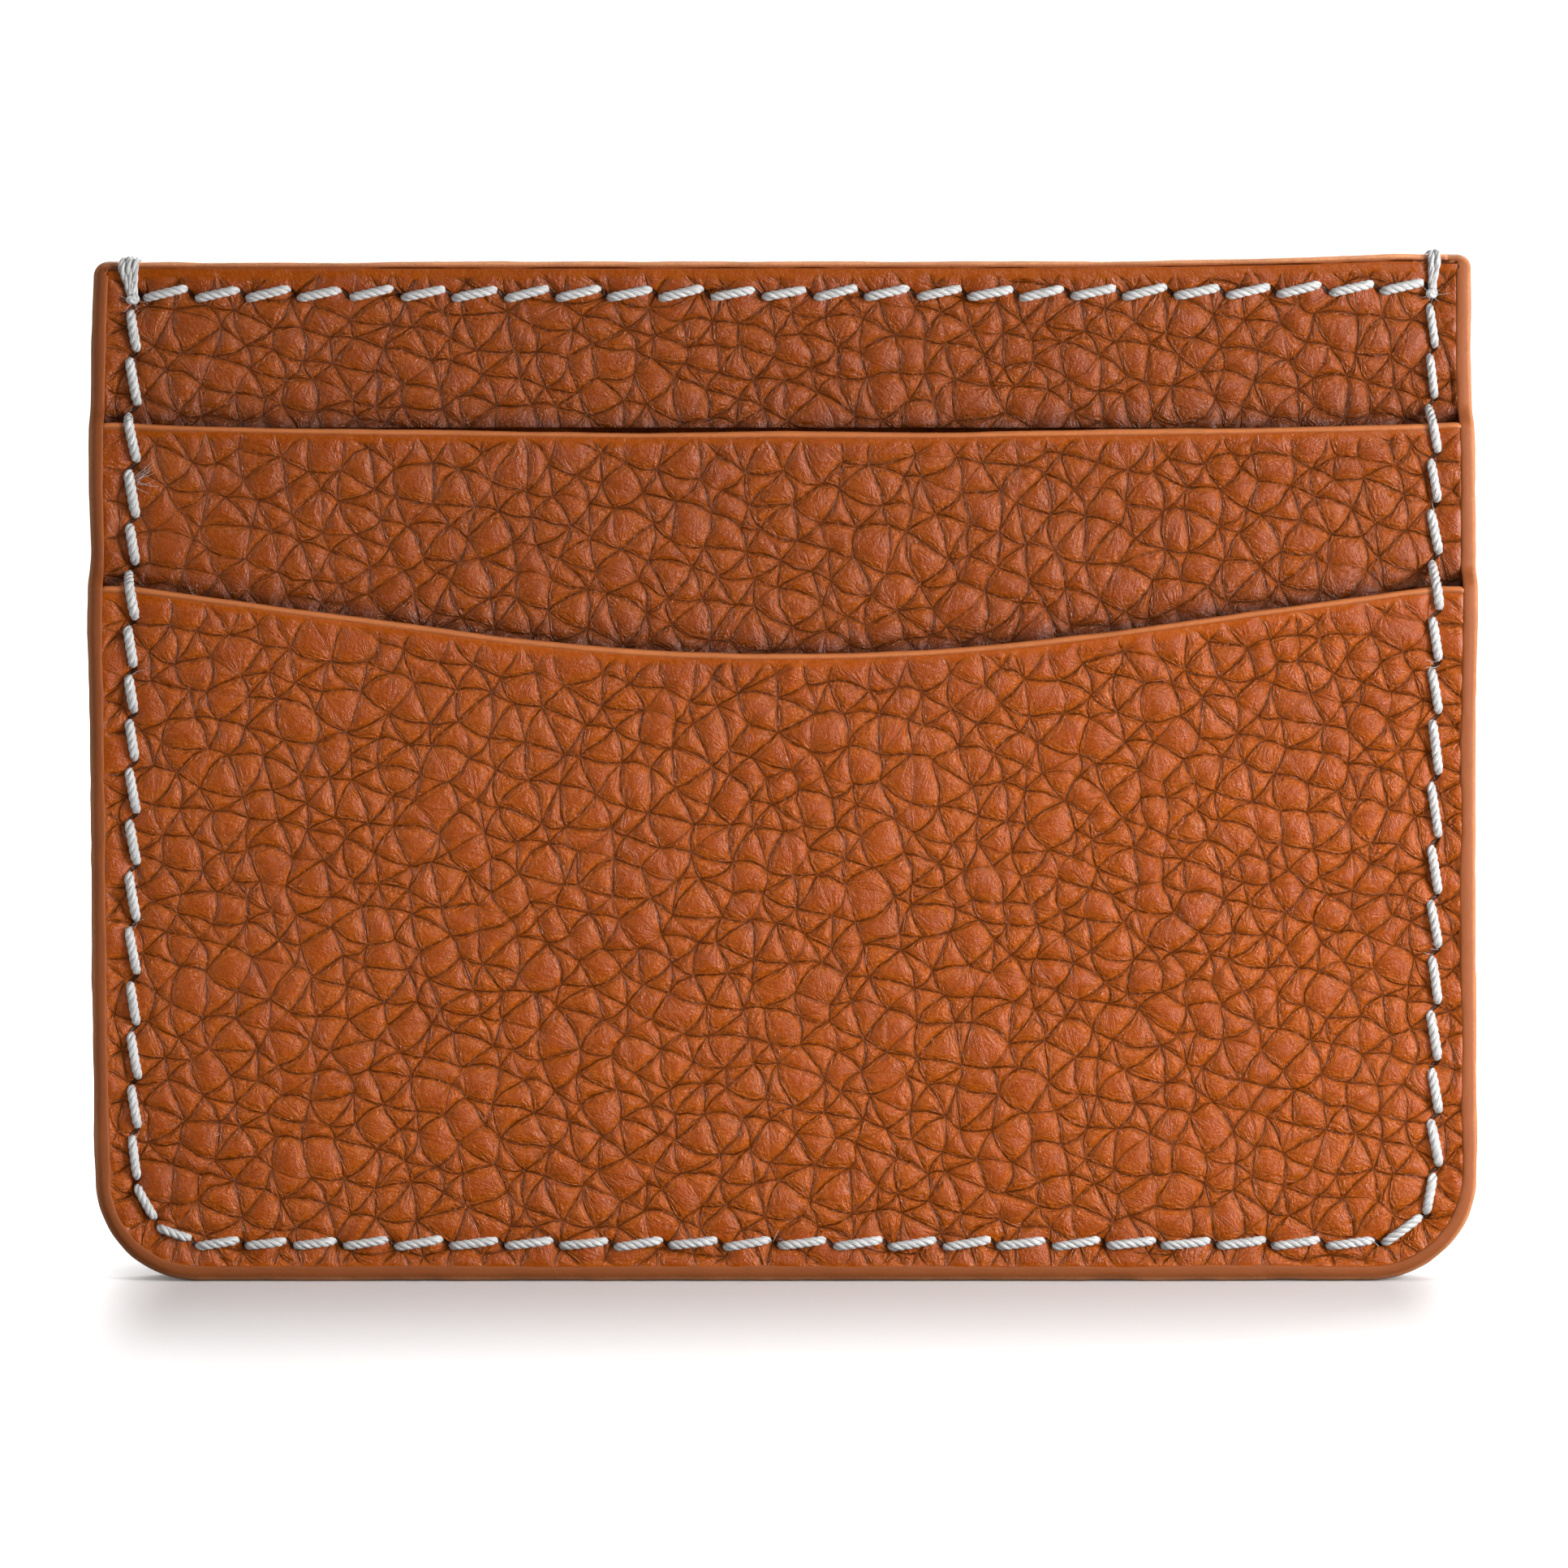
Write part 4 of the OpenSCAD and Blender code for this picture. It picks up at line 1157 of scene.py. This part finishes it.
perim = Strands()
nst = len(HOLES) - 1
for k in range(nst):
    stitch(perim, HOLES[k], HOLES[k + 1], lean_of(k, nst), face_at, -1)
for k in range(nst):
    stitch(perim, HOLES[k], HOLES[k + 1], -lean_of(k, nst) * 0.6, back_face, 1)
fray(perim, -SEAM_X + 0.25, HOLES[3][1] - 1.0, 9, 2.2, -0.1, 21)
for k, n_f in ((7, 3), (12, 2), (16, 3), (30, 2), (41, 2), (47, 3), (52, 4), (55, 2)):
    fray(perim, HOLES[k][0], HOLES[k][1], n_f, 1.0, 2.6 if HOLES[k][0] > 0 else 0.4, 30 + k)
seam_thread = perim.make("perimeter_seam_stitches", m_thread)

row_f, row_b = Strands(), Strands()
for k in range(len(ROW) - 1):
    stitch(row_f, ROW[k], ROW[k + 1], 12.5, face_at, -1)
    stitch(row_b, ROW[k], ROW[k + 1], -8.0, back_face, 1)
row_front = row_f.make("front_top_row_stitches", m_thread)
row_back = row_b.make("back_top_row_stitches", m_thread)


def corner(name, s):
    """Thread taken twice over the top edge at the end of a side seam, with its knot and frayed ends."""
    st = Strands()
    r = np.random.default_rng(5 if s < 0 else 6)
    kx, kz = s * SEAM_X - 0.05, 70.95
    spread = [(-0.50, 0.0), (-0.03, 0.10), (0.42, 0.0)] if s < 0 else [(-0.24, 0.0), (0.24, 0.05)]
    for i, (dx, lift) in enumerate(spread):
        x_top = s * (SEAM_X + (0.35 if s < 0 else 0.12)) + dx
        f0 = float(face_at([kx], [kz])[0]) - 0.16
        pts = [(kx + dx * 0.25, f0, kz), (kx + (x_top - kx) * 0.45, f0 - 0.05, kz + 1.1), (x_top, Y_PN - 0.16, TOP - 0.60),
               (x_top, Y_PN + 0.00, TOP - 0.10), (x_top + 0.02, Y_PN + 0.42, TOP + 0.05 + lift), (x_top, 0.5 * (Y_PN + Y_BK), TOP + 0.06 + lift),
               (x_top - 0.02, Y_BK - 0.42, TOP + 0.05 + lift), (x_top, Y_BK - 0.00, TOP - 0.06), (x_top, Y_BK + 0.16, TOP - 0.60),
               (kx + (x_top - kx) * 0.45, Y_BK + 0.24, kz + 1.1), (kx + dx * 0.25, Y_BK + 0.18, kz)]
        c = spline(np.array(pts), 60)
        st.twist(c, 0.28, plies=3, pitch=2.6, sides=7, phase=i * 1.7)
    for side, yy in ((-1, float(face_at([kx], [kz])[0]) - 0.22), (1, Y_BK + 0.22)):
        a = np.linspace(0, 2 * np.pi * 1.3, 34)
        c = np.stack([kx + 0.26 * np.cos(a), yy + side * (0.05 + 0.16 * np.sin(a * 0.5) ** 2), kz + 0.05 + 0.15 * np.sin(a) + 0.02 * a], 1)
        st.twist(c, 0.24, plies=3, pitch=1.4, sides=6)
        for _ in range(9):
            ang = r.uniform(0, 2 * np.pi)
            ln = r.uniform(0.5, 1.3)
            t = np.linspace(0, 1, 8)
            curl = r.uniform(-0.5, 0.5)
            px = kx + t * ln * math.cos(ang) + curl * t * t * 0.5
            pz = kz + t * ln * 0.7 * math.sin(ang) + curl * t * t * 0.3
            py = yy + side * (0.15 + 0.12 * t)
            st.tube(np.stack([px, py, pz], 1), np.linspace(0.022, 0.010, 8), 4)
    return st.make(name, m_thread)


def spline(p, n):
    """Catmull-Rom curve through p, resampled to n points."""
    q = np.vstack([2 * p[0] - p[1], p, 2 * p[-1] - p[-2]])
    out = []
    for i in range(1, len(q) - 2):
        t = np.linspace(0, 1, 12, endpoint=False)[:, None]
        a, b, c, d = q[i - 1], q[i], q[i + 1], q[i + 2]
        out.append(0.5 * (2 * b + (c - a) * t + (2 * a - 5 * b + 4 * c - d) * t**2 + (-a + 3 * b - 3 * c + d) * t**3))
    out = np.vstack(out + [p[-1:]])
    run = np.concatenate([[0], np.cumsum(np.linalg.norm(np.diff(out, axis=0), axis=1))])
    t = np.linspace(0, run[-1], n)
    return np.stack([np.interp(t, run, out[:, k]) for k in range(3)], 1)


wrap_l = corner("left_corner_thread", -1)
wrap_r = corner("right_corner_thread", 1)

# ------------------------------------------------------------------ CAD nodes that stay, with their finishes
for nm in ("front_lining", "back_lining"):
    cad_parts[nm].data.materials.clear()
    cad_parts[nm].data.materials.append(m_lining)
for nm in ("front_slot_fillers", "ear_level_fillers", "middle_slot_fillers", "centre_pocket_fillers"):
    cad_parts[nm].data.materials.clear()
    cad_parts[nm].data.materials.append(m_filler)
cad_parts["middle_pocket_hem_thread"].data.materials.clear()
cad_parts["middle_pocket_hem_thread"].data.materials.append(m_thread)

pairs = [
    (front_pocket, ["front_pocket"], "pocket_leather"), (middle_pocket, ["middle_pocket"], "pocket_leather"),
    (front_panel, ["front_panel"], "panel_leather"), (back_panel, ["back_panel"], "panel_leather"),
    (edge_coat, ["left_edge_coat", "right_edge_coat", "bottom_edge_coat"], "edge_paint"),
    (mouth_fp, ["front_pocket_mouth_coat"], "edge_paint"), (mouth_mp, ["middle_pocket_mouth_coat"], "edge_paint"),
    (top_front, ["front_panel_top_coat"], "edge_paint"), (top_back, ["back_panel_top_coat"], "edge_paint"),
    (seam_thread, ["perimeter_seam_thread"], "thread"), (row_front, ["front_top_row_thread"], "thread"),
    (row_back, ["back_top_row_thread"], "thread"), (wrap_l, ["left_corner_wrap"], "thread"), (wrap_r, ["right_corner_wrap"], "thread"),
]
for ob, nodes, slot in pairs:
    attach(ob, "root")
    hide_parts(*nodes)


# ------------------------------------------------------------------ floor, light and camera
def plane(name, size, loc, rot=(0, 0, 0), mat=None):
    me = bpy.data.meshes.new(name)
    s = size / 2
    me.from_pydata([(-s, -s, 0), (s, -s, 0), (s, s, 0), (-s, s, 0)], [], [(0, 1, 2, 3)])
    ob = bpy.data.objects.new(name, me)
    ob.location, ob.rotation_euler = loc, rot
    scene.collection.objects.link(ob)
    if mat:
        me.materials.append(mat)
    return ob


def plain(name, colour, rough=0.8, emit=0.0):
    m = bpy.data.materials.new(name)
    m.use_nodes = True
    b = m.node_tree.nodes["Principled BSDF"]
    b.inputs["Base Color"].default_value = colour + (1.0,)
    b.inputs["Roughness"].default_value = rough
    b.inputs["Specular IOR Level"].default_value = 0.1
    if emit:
        b.inputs["Emission Color"].default_value = (1, 1, 1, 1)
        b.inputs["Emission Strength"].default_value = emit
    return m


def floor_material():
    """Pale table that glows, with the glow taken away round the holder's foot: a painted contact shadow; brighter
    further out so that it runs into the backdrop without an edge.
    """
    n = Nodes("floor_white_painted_shadow")
    x, y, _ = n.split(n.mm())
    x = n.math("MULTIPLY", n.math("MAXIMUM", n.math("SUBTRACT", n.math("ABSOLUTE", x), 43.0), 0.0), 9.0)
    front = n.math("MAXIMUM", n.math("SUBTRACT", n.math("MULTIPLY", y, -1.0), 3.0), 0.0)
    behind = n.math("MULTIPLY", n.math("MAXIMUM", n.math("SUBTRACT", y, 3.0), 0.0), 5.0)
    away = n.vmath("LENGTH", n.join(x, n.math("ADD", front, behind), 0.0))
    # painted contact shadow: no glow next to the holder's foot, rising to full glow further out
    far = n.math("ADD", n.ramp(away, -6.0, 80.0, 0.0, 0.67), n.ramp(away, 130.0, 700.0, 0.0, 0.6))
    n.bsdf.inputs["Base Color"].default_value = (0.86, 0.85, 0.845, 1.0)
    n.bsdf.inputs["Roughness"].default_value = 0.9
    n.bsdf.inputs["Specular IOR Level"].default_value = 0.1
    n.bsdf.inputs["Emission Color"].default_value = (1, 1, 1, 1)
    n._in(n.bsdf, "Emission Strength", far)
    return n.mat


def dome(radius, mat):
    """A plain white studio dome round everything; it's only a background."""
    v, f = [], []
    nu, nv = 48, 12
    for j in range(nv):
        a = math.radians(-4 + 94 * j / nv)
        for i in range(nu):
            t = 2 * math.pi * i / nu
            v.append((radius * math.cos(a) * math.cos(t), radius * math.cos(a) * math.sin(t), radius * math.sin(a)))
    v.append((0, 0, radius))
    for j in range(nv - 1):
        for i in range(nu):
            k = (i + 1) % nu
            f.append((j * nu + i, (j + 1) * nu + i, (j + 1) * nu + k, j * nu + k))
    for i in range(nu):
        f.append(((nv - 1) * nu + i, nu * nv, (nv - 1) * nu + (i + 1) % nu))
    me = bpy.data.meshes.new("studio_dome")
    me.from_pydata(v, [], f)
    me.materials.append(mat)
    ob = bpy.data.objects.new("studio_dome", me)
    scene.collection.objects.link(ob)
    return ob


floor = plane("studio_floor", 9.4, (0, 0, 0), mat=floor_material())
black = plain("flag_black", (0.02, 0.02, 0.02))
white = plain("backdrop_white", (0.9, 0.9, 0.9), emit=1.3)
flag = plane("studio_flag_front", 1.5, (-0.12, -1.15, 0.40), (math.radians(90), 0, 0), black)
flag_b = plane("studio_flag_back", 1.5, (0, 1.15, 0.40), (math.radians(90), 0, 0), black)
backdrop = dome(4.6, white)
floor.visible_diffuse = floor.visible_glossy = False
for f in (flag, flag_b, backdrop):
    f.visible_camera = f is backdrop
    f.visible_diffuse = False
    f.visible_shadow = False
    f.visible_glossy = f is not backdrop

world = bpy.data.worlds.new("studio_world")
scene.world = world
world.use_nodes = True
world.node_tree.nodes["Background"].inputs[0].default_value = (1.0, 1.0, 1.0, 1.0)
world.node_tree.nodes["Background"].inputs[1].default_value = 0.06


def area(name, loc, target, size, power, colour=(1, 1, 1)):
    li = bpy.data.lights.new(name, "AREA")
    li.shape = "RECTANGLE"
    li.size, li.size_y = size
    li.energy = power
    li.color = colour
    ob = bpy.data.objects.new(name, li)
    ob.location = loc
    ob.rotation_euler = (Vector(target) - Vector(loc)).to_track_quat("-Z", "Y").to_euler()
    ob.visible_camera = False
    scene.collection.objects.link(ob)
    return ob


area("softbox_left", (-0.80, -0.24, 0.12), (0, 0, 0.035), (0.30, 0.4), 1.95)
area("softbox_right", (0.30, -0.20, 0.09), (0, 0, 0.030), (0.12, 0.20), 2.00)
area("softbox_key", (0.15, -0.38, 0.085), (0, 0, 0.035), (0.07, 0.14), 0.23)
area("softbox_top", (0.15, -0.30, 0.90), (0, 0, 0.02), (0.9, 0.4), 1.58)
low = area("softbox_low", (0.02, -0.16, 0.008), (0, 0, 0.03), (0.30, 0.016), 0.018)
near = area("softbox_near", (0.05, -0.10, 0.008), (0.02, 0, 0.015), (0.16, 0.016), 0.020)
bounce = area("table_bounce", (0.0, -0.030, 0.002), (0, -0.030, 1.0), (0.24, 0.04), 0.017)
low.visible_glossy = near.visible_glossy = bounce.visible_glossy = False
area("softbox_back", (0.1, 0.85, 0.55), (0, 0, 0.035), (0.8, 0.5), 7.5)

cam_data = bpy.data.cameras.new("camera")
cam = bpy.data.objects.new("camera", cam_data)
scene.collection.objects.link(cam)
scene.camera = cam
cam_data.sensor_width = 36.0
cam_data.lens = 200.0
cam_data.clip_start, cam_data.clip_end = 0.01, 50.0
elev = math.radians(3.0)
aim = Vector((0.0, Y_FP * MM, 0.0361))
dist = 0.1132 * cam_data.lens / 36.0
cam.location = aim + Vector((0, -math.cos(elev), math.sin(elev))) * dist
cam.rotation_euler = (aim - cam.location).to_track_quat("-Z", "Y").to_euler()
